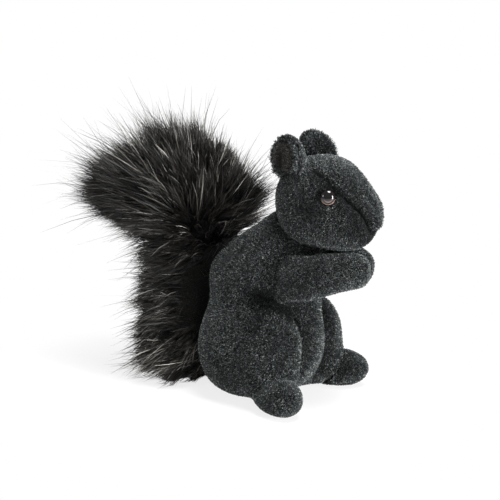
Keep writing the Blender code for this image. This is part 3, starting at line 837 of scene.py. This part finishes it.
# %% Blades, limits and the UV map
def blade(bench, rows):
    """One blade standing on the origin: a unit wide at its root, a unit high, tapering."""
    grid = bench.node("GeometryNodeMeshGrid", None,
                      {"Size X": 1.0, "Size Y": 1.0, "Vertices X": 2, "Vertices Y": rows}, output="Mesh")
    x, y, _ = split_xyz(bench, position(bench))
    along = y + 0.5
    wide = 1.0 - 0.94 * along ** 1.6
    grid = store(bench, grid, "along", along)
    grid = store(bench, grid, "side", x * wide)
    return bench.node("GeometryNodeSetPosition", None,
                      {"Geometry": grid, "Position": join_xyz(bench, x * wide, 0.0, along)})


def needle(bench):
    """The cheapest tuft: a single triangle that widens from its root to its cut tip."""
    ring = bench.node("GeometryNodeMeshCircle", {"fill_type": "NGON"}, {"Vertices": 3, "Radius": 1.0})
    x, y, _ = split_xyz(bench, position(bench))
    along = (1.0 - x) / 1.5
    ring = store(bench, ring, "along", along)
    ring = store(bench, ring, "side", y / math.sqrt(3.0))
    return bench.node("GeometryNodeSetPosition", None,
                      {"Geometry": ring, "Position": join_xyz(bench, y / math.sqrt(3.0), 0.0, along)})


def stand(bench, points, shape, direction, turn, scale):
    """Stands a copy of the shape on each point, along its direction."""
    aligned = bench.node("FunctionNodeAlignRotationToVector", {"axis": "Z"}, {"Vector": direction})
    spun = bench.node("FunctionNodeRotateRotation", {"rotation_space": "LOCAL"},
                      {"Rotation": aligned, "Rotate By": join_xyz(bench, 0.0, 0.0, turn)})
    return bench.node("GeometryNodeInstanceOnPoints", None,
                      {"Points": points, "Instance": shape, "Rotation": spun, "Scale": scale})


def finish_tree(bench, geometry, material):
    """Real geometry, the UV map of tone and length, and the material."""
    tone, along, side = read(bench, "tone"), read(bench, "along"), read(bench, "side")
    uv = join_xyz(bench, 0.06 + 0.88 * tone + 0.06 * side, 0.02 + 0.96 * along, 0.0)
    geometry = store(bench, geometry, "OFBake", uv, "FLOAT2", "CORNER")
    geometry = bench.node("GeometryNodeSetMaterial", None, {"Geometry": geometry, "Material": material})
    out = bench.tree.nodes.new("NodeGroupOutput")
    plug(bench.tree, out.inputs[0], geometry)


FLOOR_Z = 0.0003
REACH_LOW = (-0.0655, -0.0950)
REACH_HIGH = (0.0635, 0.1600, 0.1925)


def kept_in_reach(bench, geometry):
    """Fibres that would go through the floor lie on it, and no stray tip leaves the toy's size."""
    x, y, z = split_xyz(bench, position(bench))
    x = x.high(REACH_LOW[0]).low(REACH_HIGH[0])
    y = y.high(REACH_LOW[1]).low(REACH_HIGH[1])
    z = z.high(FLOOR_Z).low(REACH_HIGH[2])
    return bench.node("GeometryNodeSetPosition", None,
                      {"Geometry": geometry, "Position": join_xyz(bench, x, y, z)})


print("fibres stay within, m:", REACH_LOW, "to", REACH_HIGH)

# %% [markdown]
# ## Short pile
# Plush is sheared, so its fibres are nearly of one length. They lean a little one way, the comb,
# and noise makes neighbours lean together in small tufts. A fibre's tone is chance for the salt and
# pepper, whose rare bright fibres are partly painted glints, a fine and a coarse noise for the
# mottling, and the painted light and shade on the skin.

# %% The tree of the short pile
SPECK_SCALE = 1500.0
CLOUD_SCALE = 90.0
STRAY = 0.50


def pile_tree(name, material):
    """Short pile: a needle on each point, in small tufts, combed a little one way."""
    bench, inputs = new_tree(name, [
        ("Density", "Float", 1e6), ("Length", "Float", 0.003), ("Width", "Float", 0.0003),
        ("Comb", "Vector", (0.0, 0.0, -0.3)), ("Tuft", "Float", 0.002), ("Mess", "Float", 0.5),
        ("Seed", "Int", 1),
    ])
    points, normal = scattered(bench, inputs)
    seed = inputs["Seed"]
    tufts = drift(bench, position(bench), inputs["Tuft"])
    lean = tufts * inputs["Mess"] + chance_vector(bench, STRAY, seed + 1)
    direction = normal + inputs["Comb"] + lean
    speck = bench.node("ShaderNodeTexNoise", {"noise_dimensions": "3D"},
                       {"Vector": position(bench), "Scale": SPECK_SCALE, "Detail": 0.0})
    cloud = bench.node("ShaderNodeTexNoise", {"noise_dimensions": "3D"},
                       {"Vector": position(bench), "Scale": CLOUD_SCALE, "Detail": 2.0})
    luck = chance(bench, 0.0, 1.0, seed + 2)
    # Chance gives each fibre its tone, the rare bright ones partly painted glints; the skin adds its
    # painted light and shade.
    tone = 0.42 * luck + 0.50 * luck ** 6.0 + 1.1 * (speck - 0.47) + 0.35 * (cloud - 0.5)
    tone = tone + 0.10 * read(bench, "painted_light_and_shade")
    points = store(bench, points, "tone", tone.clamped())
    long = inputs["Length"] * chance(bench, 0.65, 1.10, seed + 3) * (1.0 - 0.85 * read(bench, "short"))
    scale = join_xyz(bench, inputs["Width"], inputs["Width"], long)
    turn = chance(bench, 0.0, 2 * math.pi, seed + 4)
    fibres = stand(bench, points, needle(bench), direction, turn, scale)
    fibres = bench.node("GeometryNodeRealizeInstances", None, {"Geometry": fibres})
    finish_tree(bench, kept_in_reach(bench, fibres), material)
    return bench.tree


def grow(name, skin, tree, **sizes):
    """Runs a tree on a skin and keeps the fibres as a plain mesh of their own."""
    obj = linked(name, skin.data.copy())
    modifier = obj.modifiers.new("pile", "NODES")
    modifier.node_group = tree
    for socket in tree.interface.items_tree:
        if socket.in_out == "INPUT" and socket.name in sizes:
            modifier[socket.identifier] = sizes[socket.name]
    applied(obj, name)
    print(name, "triangles:", sum(len(p.vertices) - 2 for p in obj.data.polygons))
    return obj


def area(obj):
    return sum(face.area for face in obj.data.polygons)


def cover(skin, material):
    """Gives a skin its backing and no other material."""
    skin.data.materials.clear()
    skin.data.materials.append(material)


plush_tree = pile_tree("short pile", plush)
nap_tree = pile_tree("ear nap", nap)
print("skin areas, mm2:", {node: round(area(skin) * 1e6) for node, skin in skins.items()})

# %% [markdown]
# ## Grow the plush
# Each shell gets its own growth, so that its length and comb can differ: flat and fine on the
# ears, longer on the body, combed from the nose backwards on the head. With THIN below 1 only that
# share of the fibres grows, each one wider, so that the cloth is covered all the same; here it is 1.

# %% Fibres on the shells
THIN = 1.0
TUFT = 0.0030
MESS = 0.25
# How many fibres, their length and width, and the way they are combed
PLUSH = {
    "torso": (195000, 0.0026, 0.00048, (0.0, 0.05, -0.20)),
    "head": (110000, 0.0022, 0.00043, (0.0, 0.20, -0.08)),
    "right_arm": (50000, 0.0023, 0.00045, (0.0, -0.12, -0.12)),
    "left_arm": (50000, 0.0023, 0.00045, (0.0, -0.12, -0.12)),
    "right_foot": (28000, 0.0023, 0.00045, (0.0, -0.12, -0.06)),
    "left_foot": (28000, 0.0023, 0.00045, (0.0, -0.12, -0.06)),
    "right_ear": (18000, 0.0028, 0.00043, (0.0, 0.0, 0.25)),
    "left_ear": (18000, 0.0028, 0.00043, (0.0, 0.0, 0.25)),
}
pile = {}
for number, (node, (count, long, wide, comb)) in enumerate(PLUSH.items()):
    skin = skins[node]
    cover(skin, plush_backing)
    density = count * THIN / area(skin)
    pile[node] = grow(node + "_pile", skin, plush_tree, Density=density, Length=long,
                      Width=wide / THIN ** 0.5, Comb=comb, Tuft=TUFT, Mess=MESS, Seed=10 * number + 1)

# %% [markdown]
# ## Nap on the ear linings
# The lining is a brushed cloth, with a nap about half as long as the plush and warmer in tone. It
# could be a bumpy surface only, but the same tree grows it, with other sizes and another material.

# %% Linings with their nap
NAP_COUNT = 9000
NAP_LENGTH = 0.0011
NAP_WIDTH = 0.00022

for number, node in enumerate(("right_ear_lining", "left_ear_lining")):
    skin = skins[node]
    cover(skin, nap_backing)
    pile[node] = grow(node + "_nap", skin, nap_tree, Density=NAP_COUNT * THIN / area(skin),
                      Length=NAP_LENGTH, Width=NAP_WIDTH / THIN ** 0.5, Comb=(0.0, 0.0, 0.1), Mess=0.3,
                      Seed=200 + number)

# %% [markdown]
# ## Long pile on the tail
# The tail's silky strands are several centimetres long. They are combed away from the fold of the
# curl, so they fan out over it, and hang a little low down. Neighbours cling together in pointed
# locks: a Voronoi cell is a lock, its strands turn alike, and their tips draw to its middle. A
# curve for each strand would be heavy, so it is a ribbon that is bent once it stands in place:
# each row moves by the square of the way to its tip.

# %% The tree of the long pile
FAN_Y = 0.026
BROW_Y = 0.044
FAN_Z = 0.094
CURL_Z = 0.103


def long_pile_tree(name, material):
    """Long pile: bent ribbons, combed away from the fold of the curl and gathered in locks."""
    bench, inputs = new_tree(name, [
        ("Density", "Float", 1e6), ("Length", "Float", 0.03), ("Width", "Float", 0.0004),
        ("Sway", "Float", 0.3), ("Droop", "Float", 0.2), ("Lock", "Float", 0.006),
        ("Clump", "Float", 0.6), ("Bright", "Float", 0.0), ("Seed", "Int", 1),
    ])
    points, _ = scattered(bench, inputs)
    seed, place = inputs["Seed"], position(bench)
    x, y, z = split_xyz(bench, place)
    wide = 0.48 + 0.7 * ((0.050 - z) / 0.030).clamped()
    spread = bench.node("ShaderNodeVectorMath", {"operation": "NORMALIZE"},
                        {0: join_xyz(bench, x * wide, y - FAN_Y, z - z.low(FAN_Z))})
    sag = (1.0 - z / CURL_Z).clamped()
    forward = ((BROW_Y - y) / 0.012).clamped() * ((z - 0.084) / 0.012).clamped()
    forward = forward * (1.0 - ((z - 0.108) / 0.020).clamped())
    cell = {"Vector": place, "Scale": 1.0 / inputs["Lock"]}
    lock_spot = bench.node("ShaderNodeTexVoronoi", {"voronoi_dimensions": "3D"}, cell, output="Position")
    lock_colour = bench.node("ShaderNodeTexVoronoi", {"voronoi_dimensions": "3D"}, cell, output="Color")
    lock_turn = bench.less(lock_colour, MIDDLE_GREY)
    lock_luck = split_xyz(bench, lock_turn)[0]
    heading = spread + join_xyz(bench, 0.0, -0.85 * forward, 0.30 * forward - 0.45 * sag) + lock_turn * 0.65
    heading = heading + drift(bench, place, 0.014) * 0.22 + chance_vector(bench, 0.14, seed + 1)
    luck = chance(bench, 0.0, 1.0, seed + 2)
    guard = luck ** 8.0
    long = inputs["Length"] * read(bench, "reach") * (0.36 + 0.22 * luck + 0.42 * guard + 0.45 * lock_luck)
    sway = drift(bench, place + (0.3, 0.1, 0.2), 0.010) * inputs["Sway"]
    bend = sway + chance_vector(bench, 0.16, seed + 5)
    bend = (bend + join_xyz(bench, 0.0, 0.0, 0.0 - inputs["Droop"])) * long
    bend = bend + (lock_spot - place) * inputs["Clump"] * (1.0 - guard)
    points = store(bench, points, "bend", bend, "FLOAT_VECTOR")
    # Tone from chance and the lock, the rare bright strands partly painted highlights; low on the tail
    # strands are painted lighter, painted light, and they are darker towards the back of the curl.
    tone = 0.40 * chance(bench, 0.0, 1.0, seed + 3) + 0.60 * chance(bench, 0.0, 1.0, seed + 6) ** 5.0
    behind = ((y - 0.080) / 0.040).clamped()
    tone = tone + 0.45 * lock_luck + 0.20 * sag - 0.12 * behind + inputs["Bright"]
    points = store(bench, points, "tone", tone.clamped())
    scale = join_xyz(bench, inputs["Width"], inputs["Width"], long)
    turn = chance(bench, 0.0, 2 * math.pi, seed + 4)
    strands = stand(bench, points, blade(bench, 4), heading, turn, scale)
    strands = bench.node("GeometryNodeRealizeInstances", None, {"Geometry": strands})
    bent = read(bench, "bend", "FLOAT_VECTOR") * (read(bench, "along") ** 2.0)
    strands = bench.node("GeometryNodeSetPosition", None, {"Geometry": strands, "Offset": bent})
    finish_tree(bench, kept_in_reach(bench, strands), material)
    return bench.tree


print("the tree of the long pile is ready")

# %% [markdown]
# ## The tail's tube
# Under its pile the tail is a sewn tube that stands up along the back and curls away from it. The
# solid shows tube and pile as one form, so a skin on it would put the strands' roots too far out.
# We loft a slimmer tube instead. Each ring is an ellipse between a front and a back edge, and
# under the curl the rings are narrow, which makes the notch there.

# %% Loft the tube
TUBE_SETBACK = 0.0585
TUBE_DEPTH = 0.047
TUBE_HALF_WIDTH = 0.029
PLUME_RISE = 0.048
PLUME_FRONT = 0.030
PLUME_BACK = 0.051
TUBE_SIDES = 16


def tube_edges():
    """Front and back edge of the tube from root to tip, as y, z, y and z, and its share of the width."""
    front, back = TUBE_SETBACK - TUBE_DEPTH / 2, TUBE_SETBACK + TUBE_DEPTH / 2
    low, curl, top = TUBE_DEPTH, CURL_Z, CURL_Z + PLUME_RISE
    return [
        (front - 0.006, low * 0.55, front - 0.006, 0.010, 0.50),
        (front - 0.002, low * 0.75, front + 0.004, 0.001, 0.92),
        (front + 0.002, low * 0.98, back - 0.012, 0.001, 1.04),
        (front + 0.001, low * 1.26, back - 0.002, low * 0.34, 0.98),
        (front, low * 1.53, back - 0.003, low * 0.80, 0.92),
        (front - 0.003, low * 1.78, back - 0.004, low * 1.24, 0.88),
        (front - 0.010, curl - 0.006, back - 0.009, low * 1.56, 0.90),
        (front - PLUME_FRONT * 0.48, curl + 0.010, back - 0.013, curl - 0.019, 0.98),
        (front - PLUME_FRONT * 0.46, curl + PLUME_RISE * 0.50, back - 0.008, curl - 0.011, 1.00),
        (front - PLUME_FRONT * 0.06, curl + PLUME_RISE * 0.84, back + 0.001, curl - 0.008, 1.02),
        (front + 0.010, top - 0.002, back + PLUME_BACK * 0.27, curl - 0.006, 1.02),
        (back - 0.010, top - 0.005, back + PLUME_BACK * 0.44, curl - 0.002, 0.96),
        (back + PLUME_BACK * 0.26, top - PLUME_RISE * 0.34, back + PLUME_BACK * 0.56, curl + 0.002, 0.80),
        (back + PLUME_BACK * 0.54, top - PLUME_RISE * 0.64, back + PLUME_BACK * 0.62, curl + 0.004, 0.46),
    ]


def tail_tube(name):
    """A closed loft of ellipses from edge to edge, rounded by a subdivision."""
    bm = bmesh.new()
    rings = []
    for front_y, front_z, back_y, back_z, share in tube_edges():
        front, rear = Vector((0, front_y, front_z)), Vector((0, back_y, back_z))
        middle, deep, wide = (front + rear) / 2, (front - rear) / 2, share * TUBE_HALF_WIDTH
        ring = []
        for step in range(TUBE_SIDES):
            angle = 2 * math.pi * step / TUBE_SIDES
            spot = middle + Vector((wide * math.cos(angle), 0, 0)) + deep * math.sin(angle)
            ring.append(bm.verts.new((spot.x, spot.y, max(spot.z, 0.001))))
        rings.append(ring)
    for ring, after in zip(rings, rings[1:]):
        for step in range(TUBE_SIDES):
            nxt = (step + 1) % TUBE_SIDES
            bm.faces.new((ring[step], ring[nxt], after[nxt], after[step]))
    for ring in (rings[0], rings[-1]):
        bmesh.ops.poke(bm, faces=[bm.faces.new(ring)])
    bmesh.ops.recalc_face_normals(bm, faces=bm.faces)
    obj = linked(name, mesh_from(bm, name))
    surface = obj.modifiers.new("soft form", "SUBSURF")
    surface.levels = 2
    surface.render_levels = 2
    return applied(obj, name)


tail = tail_tube("tail_skin")
tail.data.shade_smooth()
cover(tail, tail_backing)
skins["tail"] = tail
co = places(tail)
print("tail tube, mm:", (co.min(0) * 1000).round(1), (co.max(0) * 1000).round(1),
      "faces", len(tail.data.polygons))

# %% [markdown]
# ## How long the strands are
# Low on the tail the strands are about half as long as on the curl. They are short on the side
# that lies against the back, on the brow of the curl and in the notch under it. One length for all
# would hide that form, so the share of it that each strand gets is painted as "reach".

# %% Paint the reach
height = ramp(co[:, 2], 0.055, 0.110)
ahead = ramp(co[:, 1], 0.0425, 0.0325) * ramp(co[:, 2], 0.098, 0.086)
brow = ramp(-co[:, 1], -0.058, -0.036) * ramp(co[:, 2], 0.112, 0.130)
notch = near(co[:, 2], 0.088, 0.013) * ramp(co[:, 1], 0.058, 0.072)
share = (0.56 + 0.44 * height) * (1.0 - 0.75 * ahead) * (1.0 - 0.45 * brow) * (1.0 - 0.60 * notch)
paint(tail, "reach", share)
print("reach, least and most:", round(float(share.min()), 2), round(float(share.max()), 2))

# %% [markdown]
# ## Grow the tail's pile
# All the strands in one mesh would be too heavy for one piece, so the tube is divided in three:
# low down, the front of the curl and its back. Longer, sparser guard hairs in looser locks stand
# out of the dense pile all round and give the tail its wispy outline.

# %% Strands and guard hairs
STRAND_COUNT = 31000
GUARD_COUNT = 9000
CURL_FOOT_Z = 0.098
CURL_HALF_Y = 0.062

strand_tree = long_pile_tree("long pile", long_pile)


def part_of(skin, name, keep):
    """The faces of a skin whose middle the test keeps, as a skin of their own."""
    bm = bmesh.new()
    bm.from_mesh(skin.data)
    bmesh.ops.delete(bm, geom=[f for f in bm.faces if not keep(f.calc_center_median())], context="FACES")
    return bpy.data.objects.new(name, mesh_from(bm, name))


TAIL_PARTS = {
    "tail_pile_low": lambda middle: middle.z < CURL_FOOT_Z,
    "tail_pile_front": lambda middle: middle.z >= CURL_FOOT_Z and middle.y < CURL_HALF_Y,
    "tail_pile_back": lambda middle: middle.z >= CURL_FOOT_Z and middle.y >= CURL_HALF_Y,
}
tail_pile = []
for number, (name, keep) in enumerate(TAIL_PARTS.items()):
    patch = part_of(tail, name + "_patch", keep)
    tail_pile.append(grow(name, patch, strand_tree, Density=STRAND_COUNT * THIN / area(patch),
                          Length=0.036, Width=0.00064 / THIN ** 0.5, Sway=0.22, Droop=0.14,
                          Lock=0.0075, Clump=0.85, Bright=-0.11, Seed=300 + 10 * number))
tail_pile.append(grow("tail_guard_hairs", tail, strand_tree, Density=GUARD_COUNT * THIN / area(tail),
                      Length=0.056, Width=0.00050 / THIN ** 0.5, Sway=0.45, Droop=0.16,
                      Lock=0.012, Clump=0.35, Bright=0.02, Seed=370))

# %% [markdown]
# ## The plastic of the eyes
# A safety eye is black plastic with a brown ring, which shows low in the dome, where light that
# fell in from above leaves it again. That lit part of the ring is painted light, and so is a painted
# reflection round the rim below it. A picture could hold them, but each is only a distance from
# the middle of the eye, which Object coordinates give.

# %% Eye material
PUPIL = (0.004, 0.0035, 0.0035)
LIT_CRESCENT_BROWN = (0.26, 0.18, 0.155)
EYE_IOR = 1.45


def eye_material(name, middle, look):
    """Black plastic with two brown crescents of painted light low in the dome: the lit ring and a
    reflection.
    """
    material, bench, shader = new_material(name, roughness=0.06)
    place = bench.node("ShaderNodeTexCoord", output="Object")
    up = (Vector((0, 0, 1)) - look * look.z).normalized()
    across = look.cross(up)
    spot = bench.less(place, tuple(middle))
    rise = bench.node("ShaderNodeVectorMath", {"operation": "DOT_PRODUCT"},
                      {0: spot, 1: tuple(up)}, output="Value")
    aside = bench.node("ShaderNodeVectorMath", {"operation": "DOT_PRODUCT"},
                       {0: spot, 1: tuple(across)}, output="Value")
    rise, aside = rise / EYE_RADIUS, aside / EYE_RADIUS
    out = (rise * rise + aside * aside) ** 0.5
    # Painted light: the lit lower part of the ring, and a painted reflection round the rim below it.
    inner = ((out - 0.50) * 12.0).clamped() * ((0.66 - out) * 14.0).clamped()
    outer = ((out - 0.80) * 14.0).clamped() * ((0.97 - out) * 16.0).clamped()
    low = ((0.0 - rise) * 2.6 - 0.45).clamped()
    colour = bench.mix((inner * 0.6 + outer) * low, PUPIL, LIT_CRESCENT_BROWN)
    plug(bench.tree, shader.inputs["Base Color"], colour)
    shader.inputs["IOR"].default_value = EYE_IOR
    return material


print("an eye is", round(2000 * EYE_RADIUS, 1), "mm wide")

# %% [markdown]
# ## Safety eyes
# A plush toy's eye is a turned plastic dome with a rim and a shank through the cloth. A sphere
# would have no rim, so we turn a profile with Screw at high resolution, close its pole, and set it
# where the solid's eye sits. The washers behind the cloth keep their solids.

# %% Turn the eyes
EYE_STEPS = 48
SHANK_RADIUS = 0.0013
SHANK_END = -0.0085


def turned(name, profile, steps):
    """A profile of (radius, height) turned round Z."""
    bm = bmesh.new()
    verts = [bm.verts.new((radius, 0.0, height)) for radius, height in profile]
    for start, end in zip(verts, verts[1:]):
        bm.edges.new((start, end))
    obj = linked(name, mesh_from(bm, name))
    screw = obj.modifiers.new("turning", "SCREW")
    screw.steps = steps
    screw.render_steps = steps
    screw.use_merge_vertices = True
    screw.merge_threshold = MERGE
    return applied(obj, name)


def place_mesh(obj, matrix):
    """Moves the mesh, so that the object itself stays at the origin."""
    obj.data.transform(matrix)
    bm = bmesh.new()
    bm.from_mesh(obj.data)
    bmesh.ops.recalc_face_normals(bm, faces=bm.faces)
    bm.to_mesh(obj.data)
    bm.free()
    obj.data.shade_smooth()
    return obj


eye_pieces = {}
for node, (middle, look) in eyes.items():
    dome = [(EYE_RADIUS * 0.95 * math.sin(a), 0.0007 + 0.0030 * math.cos(a))
            for a in (math.radians(d) for d in range(0, 91, 6))]
    dome[0] = (0.0, dome[0][1])
    stem = [(EYE_RADIUS, 0.0005), (EYE_RADIUS, 0.0), (SHANK_RADIUS, 0.0),
            (SHANK_RADIUS, SHANK_END), (0.0, SHANK_END)]
    eye = turned(node + "_dome", dome + stem, EYE_STEPS)
    turn = Vector((0, 0, 1)).rotation_difference(look).to_matrix().to_4x4()
    place_mesh(eye, Matrix.Translation(middle) @ turn)
    eye.data.materials.append(eye_material(node + "_plastic", middle, look))
    eye_pieces[node] = eye
print("eye triangles:", sum(len(p.vertices) - 2 for p in eye_pieces["right_eye"].data.polygons))

# %% [markdown]
# ## Tie every piece to the frame
# Each skin stands for its solid, its fibres ride with it, and the toy is one body. One loop for
# each kind of piece is shorter than a line for each piece, and no piece can be forgotten.

for node, skin in skins.items():
    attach(skin, "root")
    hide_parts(node)
for node, fibres in pile.items():
    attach(fibres, "root")
for fibres in tail_pile:
    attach(fibres, "root")
for node, eye in eye_pieces.items():
    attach(eye, "root")
    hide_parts(node)

# %% [markdown]
# ## The white floor
# The photo is a product shot on white, with a faint shadow under the toy. More light would bleach
# the toy as well, so the floor is a matt white sheet that the camera alone sees as pure white far
# from the toy. Close by it keeps the toy's shadow.

# %% Floor
TOY_MIDDLE = (0.0, 0.03, 0.0)


def white_floor(clear_from, clear_to, faint):
    """Matt white that turns, for the camera alone, into plain white away from the toy.

    Close to the toy a share of the white, faint, is mixed in as well, so that the shadow stays light.
    """
    material, bench, shader = new_material("floor_white", roughness=0.9)
    shader.inputs["Base Color"].default_value = (0.93, 0.93, 0.93, 1.0)
    shader.inputs["Specular IOR Level"].default_value = 0.0
    place = bench.node("ShaderNodeTexCoord", output="Object")
    far = bench.node("ShaderNodeVectorMath", {"operation": "LENGTH"}, {0: place - TOY_MIDDLE},
                     output="Value")
    far = faint + (1.0 - faint) * ((far - clear_from) / (clear_to - clear_from)).clamped()
    seen = bench.node("ShaderNodeLightPath", output="Is Camera Ray")
    glow = bench.node("ShaderNodeEmission", None, {"Color": (1.0, 1.0, 1.0, 1.0), "Strength": 1.0})
    mixed = bench.node("ShaderNodeMixShader", None,
                       {0: seen * far, 1: Wire(bench.tree, shader.outputs[0]), 2: glow})
    plug(bench.tree, material.node_tree.nodes["Material Output"].inputs["Surface"], mixed)
    return material


bm = bmesh.new()
bmesh.ops.create_grid(bm, x_segments=1, y_segments=1, size=3.0)
floor = linked("floor", mesh_from(bm, "floor"))
floor.location.z = -0.0005
floor.data.materials.append(white_floor(clear_from=0.08, clear_to=0.17, faint=0.80))
print("floor corners:", len(floor.data.vertices))

# %% [markdown]
# ## Studio light
# The photo's light is soft and comes from above and in front, with a weak rim on the tail and a
# dark shade under the chin. A picture of a studio could light the toy, but a white world and three
# area lamps are easier to aim. The larger a lamp is, the softer are the edges of its shadows.

# %% World and lamps
WORLD_FILL = 0.36
AIM = (0.0, 0.02, 0.09)

world = bpy.data.worlds.new("studio")
bpy.context.scene.world = world
world.use_nodes = True
bench = Bench(world.node_tree)
seen = bench.node("ShaderNodeLightPath", output="Is Camera Ray")
strength = WORLD_FILL + (1.0 - WORLD_FILL) * seen
plug(bench.tree, world.node_tree.nodes["Background"].inputs["Color"], (1.0, 1.0, 1.0, 1.0))
plug(bench.tree, world.node_tree.nodes["Background"].inputs["Strength"], strength)


def lamp(name, spot, wide, tall, watts):
    """An area lamp that faces the toy."""
    light = bpy.data.lights.new(name, "AREA")
    light.shape = "RECTANGLE"
    light.size = wide
    light.size_y = tall
    light.energy = watts
    obj = linked(name, light)
    obj.location = spot
    obj.rotation_euler = (Vector(AIM) - Vector(spot)).to_track_quat("-Z", "Y").to_euler()
    return obj


lamps = [
    lamp("top", (-0.04, -0.22, 0.90), 0.36, 0.36, 12.5),
    lamp("left window", (-0.80, 0.45, 0.45), 0.24, 0.24, 2.4),
    lamp("front", (-0.12, -0.95, 0.24), 0.12, 0.50, 15.0),
]
print("lamps, W:", {obj.name: round(obj.data.energy, 1) for obj in lamps})

# %% [markdown]
# ## The camera
# The camera looks at the toy's right side, a little from above. Its direction was found by laying
# the solids over the photo. It could be aimed by eye, but we know how many metres a pixel is and
# where the seat's middle lies in the picture, so a few steps of arithmetic bring it there.

# %% Camera
AZIMUTH, ELEVATION = math.radians(-56), math.radians(12.5)
DISTANCE = 0.900
METRES_PER_PIXEL = 0.000645
SEAT_PIXEL = (260.0, 387.5)
IMAGE = 500.0
SENSOR = 36.0
AIMING_STEPS = 20

back = Vector((math.sin(AZIMUTH) * math.cos(ELEVATION), -math.cos(AZIMUTH) * math.cos(ELEVATION),
               math.sin(ELEVATION)))
right = Vector((0, 0, 1)).cross(back).normalized()
up = back.cross(right)
focal = DISTANCE / METRES_PER_PIXEL


def seat_in_view(target):
    """Where the seat's middle would be in the image, in pixels, with the camera on a target."""
    sight = -(target + back * DISTANCE)
    depth = -sight.dot(back)
    return IMAGE / 2 + focal * sight.dot(right) / depth, IMAGE / 2 - focal * sight.dot(up) / depth


target = Vector((0.0, 0.0, 0.0))
for _ in range(AIMING_STEPS):
    column, row = seat_in_view(target)
    target -= right * (SEAT_PIXEL[0] - column) * METRES_PER_PIXEL
    target += up * (SEAT_PIXEL[1] - row) * METRES_PER_PIXEL
camera = bpy.data.cameras.new("camera")
camera.sensor_width = SENSOR
camera.lens = focal / IMAGE * SENSOR
camera_object = linked("camera", camera)
camera_object.matrix_world = Matrix.Translation(target + back * DISTANCE) @ Matrix(
    (right, up, back)).transposed().to_4x4()
bpy.context.scene.camera = camera_object
bpy.context.scene.view_settings.view_transform = "Standard"
print("lens", round(camera.lens, 2), "seat at pixel", [round(v, 1) for v in seat_in_view(target)])

# %% [markdown]
# ## The size after dressing
# Pile adds a few millimetres on the body and up to 16 at the loose hairs of the tail. It could be
# measured by eye in a picture, but the frame knows it exactly.

# %% The end
bpy.context.view_layer.update()
